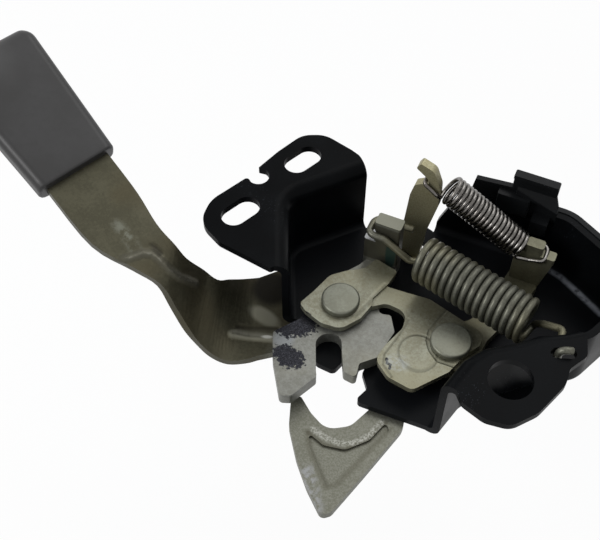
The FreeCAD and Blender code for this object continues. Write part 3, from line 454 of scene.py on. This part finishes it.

# %% [markdown]
# ## Beside the bracket
#
# Where the strip leaves the bracket it has a low pressed rib, with a painted highlight along it, a
# painted glint and painted shade on one side. Next to the wall a painted shadow makes it nearly black,
# and nearer the rib it is paler. The rib is too low for the solid: a distance to its line gives its
# colour here and its rise in the next cell.

# %% Rib
rib = lever_zinc.from_line(route((-32.0, -20.4, -2.5), (-30.9, -19.8, -2.5), (-18.9, -15.8, -3.2)))
rib_shade = lever_zinc.from_line(route((-31.0, -16.5, -2.6), (-18.9, -11.4, -3.2)))
wall_shadow = lever_zinc.inside(at(-28.0, 3.6, LEVER_TOP), (8.6, 8.6, 8.0), 20.0)
pale_patch = lever_zinc.inside(at(-25.4, -8.6, LEVER_TOP), (7.4, 3.6, 4.0), -14.0)
rib_glint = lever_zinc.inside(at(-20.6, -16.0, LEVER_TOP), (2.6, 0.8, 3.0), 20.0)
# A painted shadow next to the wall, the paler patch, painted shade beside the rib, a painted highlight
# along it and a painted glint.
for mark, full, gone, strength, colour in ((wall_shadow, 0.6, 1.15, 0.95, (0.008, 0.007, 0.005)),
                                           (pale_patch, 0.55, 1.1, 0.85, (0.22, 0.215, 0.165)),
                                           (rib_shade, 0.2, 2.0, 0.7, (0.03, 0.027, 0.018)),
                                           (rib, 0.6, 2.4, 0.75, (0.17, 0.166, 0.13)),
                                           (rib_glint, 0.4, 1.1, 0.8, (0.6, 0.6, 0.55))):
    lever_zinc.coat(mark.fading(full, gone) * strength, colour)
print("lever finish nodes:", len(lever_zinc.tree.nodes))

# %% [markdown]
# ## The lever's fold
#
# Where the strip twists up towards the handle, the press folded it: a ridge, a hollow beside it and a
# pale smear further on. The ridge has a painted highlight and the hollow painted shade. The twist is in
# the solid; the ridge and the hollow are bump, for they are less than a millimetre high.

# %% Fold
fold = lever_zinc.from_line(route((-70.6, -26.4, 25.2), (-67.1, -24.3, 27.0), (-63.8, -20.1, 26.5),
                                  (-61.3, -18.7, 25.7), (-58.3, -18.9, 24.2), (-54.5, -19.4, 21.3),
                                  (-51.7, -18.4, 17.6), (-47.8, -14.8, 11.6)))
hollow = lever_zinc.from_line(route((-62.7, -16.2, 26.2), (-60.8, -16.4, 25.8), (-59.0, -16.8, 24.9)))
smear = lever_zinc.from_line(route((-75.6, -15.5, 30.3), (-71.0, -17.4, 29.0), (-67.3, -19.8, 27.6)))
lever_zinc.coat(smear.fading(0.2, 3.4) * streaks_of(lever_zinc, 260.0) * 0.6, (0.16, 0.165, 0.135))
# Painted highlight along the ridge, then painted shade in the hollow.
lever_zinc.coat(fold.fading(0.2, 2.6) * 0.35, (0.13, 0.126, 0.105))
lever_zinc.coat(fold.fading(0.05, 0.6) * streaks_of(lever_zinc, 300.0) * 0.35, (0.24, 0.235, 0.2))
lever_zinc.coat(hollow.fading(0.2, 1.2) * 0.6, (0.022, 0.02, 0.016))
fold_rise = fold.fading(0.0, 2.2) * 0.5 - hollow.fading(0.0, 1.8) * 0.3
rib_rise = rib.fading(0.0, 2.4) * 0.7 - rib_shade.fading(0.0, 2.0) * 0.3
lever_zinc.bump(fold_rise + rib_rise + lever_zinc.noise(900.0, 3.0, 0.65) * 0.01)
print("lever finish nodes:", len(lever_zinc.tree.nodes))

# %% [markdown]
# ## Grey handle plastic
#
# The cap on the handle is a soft grey moulding, a little cloudy, with the fine grain of its mould. Its
# far end has a painted highlight, which one ellipsoid lays on.

# %% Grey finish
grey_plastic = Finish("grey_plastic", (0.029, 0.028, 0.0275), Roughness=0.4, Specular_IOR_Level=0.3)
moulding = grey_plastic.noise(420.0, 3.0)
grey_plastic.coat(grey_plastic.noise(55.0, 3.0).between(0.35, 0.65), (0.036, 0.035, 0.035))
grey_plastic.coat(moulding.between(0.45, 0.7) * 0.4, (0.027, 0.0265, 0.026))
far_end_light = grey_plastic.inside(at(-149.0, 18.0, 57.0), (10.0, 24.0, 16.0), 65.0)
# Painted highlight on the cap's far end.
grey_plastic.coat(far_end_light.fading(0.2, 1.2) * 0.7, (0.075, 0.074, 0.073))
grey_plastic.bump(moulding * 0.02)
print("materials:", len(bpy.data.materials))

# %% [markdown]
# ## Showing a piece and putting it in place
#
# Each new piece is an object that shows a mesh in one finish. It then rides on a body of the latch and
# takes the place of a solid, so that the dressed latch still moves.

# %% Shown pieces
def shown(name, mesh, finish):
    """An object that shows a mesh in one finish."""
    mesh.materials.clear()
    mesh.materials.append(finish.material)
    piece = bpy.data.objects.new(name, mesh)
    bpy.context.scene.collection.objects.link(piece)
    return piece


def stands_for(piece, node, body):
    """The piece rides on a body and takes a node's place."""
    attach(piece, body)
    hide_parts(node)


def box_of(piece):
    """Lowest and highest corner of a piece's points."""
    spots = np.array([vertex.co for vertex in piece.data.vertices])
    return spots.min(0), spots.max(0)


print("shown, stands_for and box_of are ready")

# %% [markdown]
# ## Small changes of form
#
# Three places differ from the solids. The press left the walls of the stamped boss sloped, so its top
# is drawn in. The guard's rim right of its tab comes down to the height of the wall. The two corners of
# the bay in the left ear are round. Each change takes the few points or edges near a place, and leaves
# the rest as it was.

# %% Changes to a few points
EAR_FROM, UPRIGHT, ROUND_STEPS = 28.0, 2.0, 5


def points_between(form, low, high):
    """The form's points that lie in the box from low to high."""
    return [vertex for vertex in form.verts
            if np.all(np.array(vertex.co) >= low) and np.all(np.array(vertex.co) <= high)]


def slope_in(form, low, high, shrink, rise):
    """Points in a box are drawn towards its middle by a factor and lifted by rise millimetres."""
    middle = (low + high) / 2
    for vertex in points_between(form, low, high):
        spot = np.array(vertex.co)
        vertex.co = (*(middle[:2] + (spot[:2] - middle[:2]) * shrink), spot[2] + rise * MM)


def cut_down(form, low, high, top):
    """Points in a box come down to a height in millimetres."""
    for vertex in points_between(form, low, high):
        vertex.co.z = top * MM


def blunted(form, corner, reach, width):
    """Of the ear's upright edges within reach of a corner, the nearest is rounded and the rest go."""
    near = {}
    for edge in form.edges:
        low, high = sorted((np.array(vertex.co) for vertex in edge.verts), key=lambda spot: spot[2])
        away = np.linalg.norm(low[:2] - corner[:2])
        if low[2] > EAR_FROM * MM and high[2] - low[2] > UPRIGHT * MM and away < reach * MM:
            near[edge] = away
    tip = min(near, key=near.get)
    bmesh.ops.dissolve_edges(form, edges=[edge for edge in near if edge is not tip], use_verts=True)
    bmesh.ops.bevel(form, geom=[tip], offset=width * MM, segments=ROUND_STEPS, profile=0.5, affect="EDGES",
                    clamp_overlap=True)


WALL_TOP = 26.4
BOSS = (slope_in, at(25.2, -15.9, 8.9), at(37.2, -3.9, 9.4), 0.8, -0.1)
RIM_END = (cut_down, at(57.0, 30.0, WALL_TOP), at(95.0, 70.0, 60.0), WALL_TOP)
BAY = [(blunted, corner, 2.4, 1.5) for corner in level(28.4, (-45.1, 21.5), (-43.5, 26.9))]
print("changes:", BOSS[0].__name__, RIM_END[0].__name__, [change[0].__name__ for change in BAY])

# %% [markdown]
# ## Dressing a solid
#
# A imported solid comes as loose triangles. A dressed copy of it is merged, its flat faces are made whole
# again, and a narrow bevel rounds its edges as tumbling and plating do. Weighted normals keep the big
# faces flat to the eye. A row of the wardrobe says the node, its body, slot and finish, how many
# millimetres wide its edges are rounded, which changes it has and within how many degrees two faces
# count as one. The lever is twisted, so only faces within a fiftieth of a degree are joined there.

# %% Dressed copies
SOLID_MERGE = 1e-6
SHARP_FROM, ROUNDED_FROM, EDGE_STEPS = math.radians(38), math.radians(40), 2


def dressed(node, body, slot, finish, edge, changes=(), flat=0.6):
    """Copy of a solid: doubles merged, flat faces made whole, edges rounded edge millimetres wide."""
    form = bmesh.new()
    form.from_mesh(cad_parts[node].data)
    bmesh.ops.remove_doubles(form, verts=form.verts, dist=SOLID_MERGE)
    bmesh.ops.dissolve_limit(form, angle_limit=math.radians(flat), verts=form.verts, edges=form.edges,
                             use_dissolve_boundaries=False, delimit=set())
    for change, *values in changes:
        change(form, *values)
    mesh = bpy.data.meshes.new(node + "_dressed")
    form.to_mesh(mesh)
    form.free()
    mesh.polygons.foreach_set("use_smooth", np.ones(len(mesh.polygons), bool))
    mesh.set_sharp_from_angle(angle=SHARP_FROM)
    piece = shown(node + "_dressed", mesh, finish)
    if edge > 0:
        bevel = piece.modifiers.new("worn_edges", "BEVEL")
        bevel.width = edge * MM
        bevel.segments = EDGE_STEPS
        bevel.limit_method = "ANGLE"
        bevel.angle_limit = ROUNDED_FROM
        bevel.use_clamp_overlap = True
    weighted = piece.modifiers.new("flat_faces", "WEIGHTED_NORMAL")
    weighted.keep_sharp = True
    stands_for(piece, node, body)
    return piece


WARDROBE = [
    ("base_bracket", "bracket", "black_paint", black_paint, 0.35, BAY),
    ("front_plate", "bracket", "zinc_plate", zinc_plate, 0.3, [BOSS]),
    ("claw_bush", "bracket", "bush_steel", bush_steel, 0.0),
    ("pawl_bush", "bracket", "bush_steel", bush_steel, 0.0),
    ("lever_washer", "bracket", "bush_steel", bush_steel, 0.0),
    ("cable_guard", "bracket", "black_plastic", black_plastic, 0.2, [RIM_END]),
    ("latch_claw", "claw", "claw_zinc", claw_zinc, 0.4),
    ("pawl", "pawl_body", "pawl_zinc", pawl_zinc, 0.35),
    ("safety_lever", "lever", "lever_zinc", lever_zinc, 0.3, (), 0.02),
]
print("dressed:", {row[0]: len(dressed(*row).data.polygons) for row in WARDROBE})

# %% [markdown]
# ## Surfaces on a grid
#
# The springs and the rivets are round, and round things show their facets first. They are worked out as
# grids of points: a circle carried along a wire's line, or a profile turned about an axis. Rows of
# equal points at the ends are merged to a pole.

# %% Grid to mesh
GRID_MERGE = 1e-7


def built(name, points, faces, finish, smooth):
    """A piece from points and faces: equal points merged, faces turned outwards, shaded smooth or flat."""
    mesh = bpy.data.meshes.new(name)
    mesh.from_pydata(points.tolist(), [], faces)
    form = bmesh.new()
    form.from_mesh(mesh)
    bmesh.ops.remove_doubles(form, verts=form.verts, dist=GRID_MERGE)
    bmesh.ops.recalc_face_normals(form, faces=form.faces)
    form.to_mesh(mesh)
    form.free()
    mesh.polygons.foreach_set("use_smooth", np.full(len(mesh.polygons), smooth))
    return shown(name, mesh, finish)


def skin(name, grid, finish):
    """Mesh of a grid (rows, points round, 3), closed round each row; rows of one point become poles.

    A face joins the points (row, column), (row, column + 1), (row + 1, column + 1) and (row + 1, column).
    """
    rows, around = grid.shape[:2]
    row, column = np.meshgrid(np.arange(rows - 1), np.arange(around), indexing="ij")
    beside = (column + 1) % around
    corners = np.stack([row * around + column, row * around + beside, (row + 1) * around + beside,
                        (row + 1) * around + column], axis=-1).reshape(-1, 4)
    return built(name, grid.reshape(-1, 3), corners.tolist(), finish, True)


print("built and skin are ready")

# %% [markdown]
# ## Rounded lines
#
# A bent wire and a turned profile are both straight runs joined by arcs. So a line is written as its
# corners and a radius for each, which is how a bending drawing gives it, and one function puts the arcs
# in.

# %% Lines with rounded corners
def unit(vectors):
    """Each vector divided by its length."""
    return vectors / np.linalg.norm(vectors, axis=-1, keepdims=True)


def rounded_line(points, radii, steps=8):
    """Broken line with its inner corners turned into arcs.

    An arc of radius r begins r / tan(half) from its corner, half being half of the corner's angle, and its
    centre lies r / sin(half) from the corner. A point of the arc is the two end radii weighted by
    sin((1 - t) sweep) and sin(t sweep), over sin(sweep).
    """
    line = [np.array(points[:1])]
    for before, corner, after, radius in zip(points, points[1:], points[2:], radii):
        back, ahead = unit(before - corner), unit(after - corner)
        half = math.acos(back @ ahead) / 2
        sweep = math.pi - 2 * half
        centre = corner + unit(back + ahead) * radius / math.sin(half)
        first = corner + back * radius / math.tan(half) - centre
        last = corner + ahead * radius / math.tan(half) - centre
        t = np.linspace(0.0, 1.0, steps + 1)[:, None]
        line.append(centre + (np.sin((1 - t) * sweep) * first + np.sin(t * sweep) * last) / math.sin(sweep))
    line.append(np.array(points[-1:]))
    return np.concatenate(line)


print("unit and rounded_line are ready")

# %% [markdown]
# ## Two springs
#
# Each spring is one wire: a hook, close coils and another hook. Its line is worked out first. The coils
# are a helix about the line between the spring's ends; the hooks are broken lines with rounded corners
# that leave the helix along its own direction. Then a circle is carried along the line without twist.

# %% The wire's line
RUN_OUT, FIRST_BEND = 1.2, 0.9


def spring_line(start, end, coil, wire, turns, spin, first_hook, last_hook, steps=28):
    """Line of a spring's wire; coil, wire and hook radii in millimetres, hooks as (place, radius) outwards.

    Helix point: start + r (cos a x + sin a y) + the way to the end times the share of the turns done, r
    being half of coil less wire. Beyond the coils the wire runs straight on for RUN_OUT and then bends with
    a radius of FIRST_BEND, both in thicknesses of the wire.
    """
    along = end - start
    length = np.linalg.norm(along)
    radius = (coil - wire) / 2 * MM
    tilt = Vector((0, 0, 1)).rotation_difference(Vector(along)).to_matrix()
    x_way, y_way, z_way = np.array(tilt @ Matrix.Rotation(math.radians(spin), 3, "Z")).T
    a = np.linspace(0.0, 2 * math.pi * turns, int(steps * turns) + 1)[:, None]
    helix = start + radius * (np.cos(a) * x_way + np.sin(a) * y_way) + along * a / a[-1]
    slope = math.atan2(length / turns, 2 * math.pi * radius)
    way = math.cos(slope) * (np.cos(a) * y_way - np.sin(a) * x_way) + math.sin(slope) * z_way
    run = wire * RUN_OUT * MM
    bends = [wire * FIRST_BEND * MM]
    before = [helix[0], helix[0] - way[0] * run] + [at(*place) for place, r in first_hook]
    after = [helix[-1], helix[-1] + way[-1] * run] + [at(*place) for place, r in last_hook]
    head = rounded_line(before, bends + [r * MM for place, r in first_hook])
    tail = rounded_line(after, bends + [r * MM for place, r in last_hook])
    return np.concatenate([head[:0:-1], helix, tail[1:]])


print("spring_line is ready")

# %% The wire's skin
DOME_DEPTH, DOME_WIDTH = 0.3, 0.75


def wire_grid(line, wire, sides=14):
    """Circles carried along a line, their ends closed by small domes.

    A side of the circle is the fixed side u turned by the shortest turn that takes the spring's own
    direction D to the line's direction t: u - (t.u) / (1 + t.D) (t + D). A dome is DOME_DEPTH deep and
    DOME_WIDTH wide at its flat top, in shares of the wire's radius.
    """
    radius = wire / 2 * MM
    step = unit(np.diff(line, axis=0))
    way = unit(np.concatenate([step[:1], step[:-1] + step[1:], step[-1:]]))
    fixed = unit(line[-1] - line[0])
    side = unit(np.cross(fixed, (0.0, 0.0, 1.0)))
    line = np.concatenate([line[:1], line[:1], line, line[-1:], line[-1:]])
    way = np.concatenate([way[:1], way[:1], way, way[-1:], way[-1:]])
    line[2] += way[2] * radius * DOME_DEPTH
    line[-3] -= way[-3] * radius * DOME_DEPTH
    reach = np.full(len(line), radius)
    reach[[0, -1]] = 0.0
    reach[[1, -2]] = radius * DOME_WIDTH

    def carried(u):
        return u - (way @ u / (1 + way @ fixed))[:, None] * (way + fixed)

    a = np.linspace(0.0, 2 * math.pi, sides, endpoint=False)[None, :, None]
    around = np.cos(a) * carried(side)[:, None] + np.sin(a) * carried(np.cross(fixed, side))[:, None]
    return line[:, None] + reach[:, None, None] * around


print("wire_grid is ready")

# %% [markdown]
# ## The springs on their tabs
#
# The main spring pulls at the claw. One hook sits round the claw's tab, the other in a hole of the
# bracket's right ear. It joins two bodies, but here it takes its solid's place in the frame and rides
# on no body. The lever spring hangs between the pawl's finger and the safety lever's arm and rides on
# the pawl.

# %% Main spring and lever spring
MAIN_WIRE, LEVER_WIRE = 2.5, 1.5
MAIN_START, MAIN_END = at(21.6, 20.0, 21.5), at(61.9, 9.6, 21.6)
main_line = spring_line(
    MAIN_START, MAIN_END, coil=16.4, wire=MAIN_WIRE, turns=15.875, spin=45.0,
    first_hook=[((16.5, 21.9, 15.4), 3.0), ((6.6, 21.9, 22.4), 3.0), ((0.6, 21.9, 22.6), 2.2),
                ((0.6, 29.8, 22.6), 3.0), ((14.5, 29.8, 22.6), 0.0)],
    last_hook=[((66.2, 11.0, 21.4), 2.0), ((72.6, 8.9, 25.0), 2.6), ((73.6, -4.5, 25.6), 2.4),
               ((73.6, -4.5, 32.7), 1.9), ((77.6, -3.1, 32.7), 0.0)])
lever_line = spring_line(
    at(22.3, 40.2, 36.7), at(49.4, 39.8, 20.9), coil=10.8, wire=LEVER_WIRE, turns=18.75, spin=0.0,
    first_hook=[((18.8, 37.2, 34.9), 0.6), ((14.0, 37.2, 38.6), 1.2), ((14.0, 42.6, 39.4), 1.2),
                ((16.4, 42.6, 39.4), 0.0)],
    last_hook=[((54.0, 36.4, 18.9), 1.2), ((59.2, 36.4, 20.4), 1.8), ((59.2, 42.7, 21.4), 2.2),
               ((53.0, 42.7, 21.4), 0.0)])
main_spring = skin("main_spring_wound", wire_grid(main_line, MAIN_WIRE), main_spring_wire)
lever_spring = skin("lever_spring_wound", wire_grid(lever_line, LEVER_WIRE, sides=12), lever_spring_wire)
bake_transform(main_spring)
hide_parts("main_spring")
stands_for(lever_spring, "lever_spring", "pawl_body")
for piece, node in ((main_spring, "main_spring"), (lever_spring, "lever_spring")):
    lowest, highest = box_of(piece)
    low, high = (np.array(corner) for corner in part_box(node))
    beyond = max((low - lowest).max(), (highest - high).max())
    print(node, "leaves its solid's box by", round(beyond / MM, 2), "mm")

# %% [markdown]
# ## Two rivets
#
# A latch rivet is a cold headed pin. Its head is a flat disc with a rounded edge above and a smaller
# one below, which throws the thin dark line round it. The tail is set the same way behind the bracket.
# Both are profiles turned about the rivet's axis. The claw's rivet has a wider shoulder under the
# floor, which carries the safety lever.

# %% Turned rivets
HEAD_DEPTH, TAIL_LESS, SHANK = 2.5, 1.0, 4.0
HEAD_EDGE, HEAD_UNDER, FILLET, TAIL_UNDER, TAIL_EDGE = 0.85, 0.45, 0.05, 0.2, 0.6
FLOOR_UNDER = -2.6


def turned(name, centre, profile, radii, finish, steps=72):
    """Surface of revolution: each (r, height) of the rounded profile goes to (r cos a, r sin a, height)."""
    line = rounded_line([np.array(p) * MM for p in profile], [r * MM for r in radii], steps=5)
    a = np.linspace(0.0, 2 * math.pi, steps, endpoint=False)
    grid = np.stack([line[:, :1] * np.cos(a) + centre[0], line[:, :1] * np.sin(a) + centre[1],
                     np.repeat(line[:, 1:], steps, axis=1)], axis=-1)
    return skin(name, grid, finish)


def rivet(node, tail_top, shoulder):
    """Rivet between its solid's highest and lowest faces; tail_top and the shoulder's radius are in mm."""
    low, high = (np.array(corner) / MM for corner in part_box(node))
    head, top, bottom = (high[0] - low[0]) / 2, high[2], low[2]
    seat, tail = top - HEAD_DEPTH, head - TAIL_LESS
    profile = [(0.0, top), (head, top), (head, seat), (SHANK, seat), (SHANK, FLOOR_UNDER),
               (shoulder, FLOOR_UNDER), (shoulder, tail_top), (tail, tail_top), (tail, bottom),
               (0.0, bottom)]
    radii = [HEAD_EDGE, HEAD_UNDER, FILLET, FILLET, FILLET, FILLET, TAIL_UNDER, TAIL_EDGE]
    if shoulder == SHANK:
        del profile[4:6], radii[3:5]
    piece = turned(node + "_set", (low + high)[:2] / 2 * MM, profile, radii, rivet_steel)
    stands_for(piece, node, "bracket")
    print(node, "head, top and bottom:", [round(float(value), 2) for value in (head, top, bottom)])


rivet("claw_rivet", tail_top=-6.6, shoulder=5.0)
rivet("pawl_rivet", tail_top=FLOOR_UNDER, shoulder=SHANK)

# %% [markdown]
# ## The handle cap
#
# The cap is a soft grey moulding pushed over the strip. It widens away from the mouth, and its far end
# closes in a broad round that catches the light. It is a rounded rectangle carried along the strip's
# own direction and drawn in at both ends, because a box with a bevel would have one radius all over.

# %% The cap's directions and sizes
STRIP_END = at(-94.4, -6.4, 36.2)
AHEAD = unit(np.array((-0.856, 0.389, 0.340)))
lean, heading = math.radians(-4.4), math.radians(-109.0)
level_share = math.cos(lean)
edge_way = np.array((math.cos(heading) * level_share, math.sin(heading) * level_share, math.sin(lean)))
ACROSS = unit(edge_way - AHEAD * (edge_way @ AHEAD))
FACE = np.cross(AHEAD, ACROSS)
MOUTH_WIDTH, END_WIDTH, DEPTH, LENGTH, CORNER, END_ROUND = 30.3, 36.0, 10.0, 56.5, 3.4, 6.0
MOUTH_AHEAD, MOUTH_ROUND, MOUTH_MIDDLE, BODY_FROM, END_LEFT, CORNER_MOST = 2.2, 0.9, 0.25, 3.0, 0.6, 0.85
print("cap runs along", AHEAD.round(3), "and is", LENGTH, "mm long")


# %% Handle cap
def cap_grid(per_corner=10, body_rows=14, end_rows=8):
    """Rounded rectangles along the cap.

    A point is the corner's centre (half width - corner, half depth - corner) with the signs of cos a and
    sin a, plus corner times (cos a, sin a). Width grows evenly. The last END_ROUND millimetres follow a
    quarter of an ellipse until half the depth is END_LEFT, and the mouth's edge is rounded in two steps.
    """
    turn_in = np.linspace(0.0, math.pi / 2, end_rows + 1)[1:-1]
    body_end, closing = LENGTH - END_ROUND, DEPTH / 2 - END_LEFT
    lift = np.concatenate([[0.0, 0.0, MOUTH_MIDDLE, MOUTH_ROUND],
                           np.linspace(BODY_FROM, body_end, body_rows),
                           body_end + END_ROUND * np.sin(turn_in), [LENGTH, LENGTH]])
    inset = np.concatenate([[0.0, MOUTH_ROUND, MOUTH_MIDDLE, 0.0], np.zeros(body_rows),
                            closing * (1 - np.cos(turn_in)), [closing, 0.0]])
    close = np.ones(len(lift))
    close[[0, -1]] = 0.0
    half_width = (MOUTH_WIDTH + (END_WIDTH - MOUTH_WIDTH) * lift / LENGTH) / 2 - inset
    half_depth = DEPTH / 2 - inset
    corner = np.minimum(CORNER, half_depth * CORNER_MOST)
    a = (np.arange(4)[:, None] * math.pi / 2 + np.linspace(0.0, math.pi / 2, per_corner)).ravel()
    sign_x = np.repeat([1.0, -1.0, -1.0, 1.0], per_corner)
    sign_y = np.repeat([1.0, 1.0, -1.0, -1.0], per_corner)
    x = ((half_width - corner)[:, None] * sign_x + corner[:, None] * np.cos(a)) * close[:, None]
    y = ((half_depth - corner)[:, None] * sign_y + corner[:, None] * np.sin(a)) * close[:, None]
    mouth = STRIP_END + AHEAD * MOUTH_AHEAD * MM
    return mouth + MM * (x[..., None] * ACROSS + y[..., None] * FACE + lift[:, None, None] * AHEAD)


cap = skin("handle_cap", cap_grid(), grey_plastic)
cap.modifiers.new("flat_faces", "WEIGHTED_NORMAL")
stands_for(cap, "lever_cap", "lever")

# %% [markdown]
# ## A dark plate under the ear's hole
#
# A small flat black plate lies under the ear, so that its round hole shows dark. Its blunt eight-sided
# outline widens the solid's own foot along the wall.

# %% Plate under the ear's hole
HOLE_PLATE_LOW, HOLE_PLATE_HIGH = -2.55, -0.05
HOLE_PLATE = [(54.6, -7.6), (58.0, -6.0), (64.6, 0.4), (70.4, 4.0), (73.6, 1.4), (70.0, -3.4), (62.4, -10.6),
       (57.0, -12.2)]


def flat_plate(name, outline, low, high, finish):
    """Plate of an outline between two heights in millimetres, its upper and lower faces closed."""
    count = len(outline)
    corners = np.array(level(low, *outline) + level(high, *outline))
    here = np.arange(count)
    beside = (here + 1) % count
    walls = np.stack([here, beside, beside + count, here + count], axis=-1).tolist()
    return built(name, corners, walls + [here[::-1].tolist(), (here + count).tolist()], finish, False)


ear_hole_plate = flat_plate("ear_hole_plate", HOLE_PLATE, HOLE_PLATE_LOW, HOLE_PLATE_HIGH, black_paint)
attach(ear_hole_plate, "bracket")
print("lip corners:", len(ear_hole_plate.data.vertices))

# %% [markdown]
# ## Stage and sky
#
# A pale floor, a soft sky and three soft lamps. What the camera sees directly, and what metal mirrors,
# is plain white; the parts are lit by the sky's softer level and the lamps, at which a colour renders
# about as written.

# %% Stage
SEEN_WHITE, FLOOR_REACH, FLOOR_LEVEL = 0.92, 3.0, -0.12
WHITE = (1.0, 1.0, 1.0, 1.0)


def seen(board):
    """1 for what the camera, metal or glass sees directly, 0 for light that spreads."""
    path = board.node("LightPath", {}, {}, output="Is Camera Ray")
    rays = path.socket.node.outputs
    return path.most(Signal(board, rays["Is Glossy Ray"])).most(Signal(board, rays["Is Transmission Ray"]))


floor_white = Finish("floor_white", (0.9, 0.9, 0.9), Roughness=0.9)
glow = floor_white.node("Emission", {}, {"Color": WHITE, "Strength": 1.0})
plain = Signal(floor_white, floor_white.shader.outputs[0])
mixed = floor_white.node("MixShader", {}, {0: seen(floor_white) * SEEN_WHITE, 1: plain, 2: glow})
floor_white.feed(floor_white.tree.nodes["Material Output"].inputs["Surface"], mixed)
floor_mesh = bpy.data.meshes.new("floor")
floor_mesh.from_pydata([(x * FLOOR_REACH, y * FLOOR_REACH, FLOOR_LEVEL)
                        for x, y in ((-1, -1), (1, -1), (1, 1), (-1, 1))], [], [(0, 1, 2, 3)])
floor = shown("floor", floor_mesh, floor_white)
print("floor lies", FLOOR_LEVEL, "m from the striker bar's height")

# %% Sky
world = bpy.data.worlds.new("studio")
bpy.context.scene.world = world
world.use_nodes = True
sky = Board(world.node_tree)
soft = sky.node("Background", {}, {"Color": (0.92, 0.96, 1.0, 1.0), "Strength": 0.45})
white = sky.node("Background", {}, {"Color": WHITE, "Strength": 1.0})
both = sky.node("MixShader", {}, {0: seen(sky), 1: soft, 2: white})
sky.feed(sky.tree.nodes["World Output"].inputs["Surface"], both)
print("sky nodes:", len(sky.tree.nodes))

# %% [markdown]
# ## Lamps
#
# The photo shows broad soft highlights and hardly any shadow. Area lamps give that: a large one high at
# the back, a smaller one in front on the left, and a weak one, tall and narrow, at the left. Each looks
# at the latch's origin.

# %% Lamps
def softbox(name, place, width, height, watts):
    """Rectangular lamp at a place in metres that looks at the origin."""
    lamp = bpy.data.lights.new(name, "AREA")
    lamp.shape = "RECTANGLE"
    lamp.size, lamp.size_y = width, height
    lamp.energy = watts
    lamp_piece = bpy.data.objects.new(name, lamp)
    turn = (-Vector(place)).to_track_quat("-Z", "Y").to_matrix().to_4x4()
    lamp_piece.matrix_world = Matrix.Translation(place) @ turn
    bpy.context.scene.collection.objects.link(lamp_piece)


softbox("back", (0.1, 0.6, 0.9), 0.75, 0.75, 3.6)
softbox("front", (-0.6, -0.6, 0.65), 0.35, 0.35, 4.6)
softbox("left", (-0.9, 0.1, 0.5), 0.2, 0.6, 1.2)
print("lamps:", len(bpy.data.lights))

# %% [markdown]
# ## Camera
#
# The camera stands where the photo was taken from. Its place and its two directions were fitted to the
# flat plane of the ears and the floor, so that the render can be laid over the photo.

# %% Camera
CAMERA_AT = (0.05453, -0.17924, 0.29042)
CAMERA_AHEAD = Vector((-0.24766, 0.54850, -0.79864))
CAMERA_RIGHT = Vector((0.91140, 0.41151, 0.0))
lens = bpy.data.cameras.new("photo_view")
lens.lens = 60.0
lens.sensor_width = 36.0
lens.clip_start = 0.01
camera = bpy.data.objects.new("photo_view", lens)
turn = Matrix((CAMERA_RIGHT, CAMERA_RIGHT.cross(CAMERA_AHEAD), -CAMERA_AHEAD)).transposed().to_4x4()
camera.matrix_world = Matrix.Translation(CAMERA_AT) @ turn
bpy.context.scene.collection.objects.link(camera)
bpy.context.scene.camera = camera
bpy.context.scene.view_settings.view_transform = "Standard"
print("camera stands", round(Vector(CAMERA_AT).length, 3), "m from the striker bar")
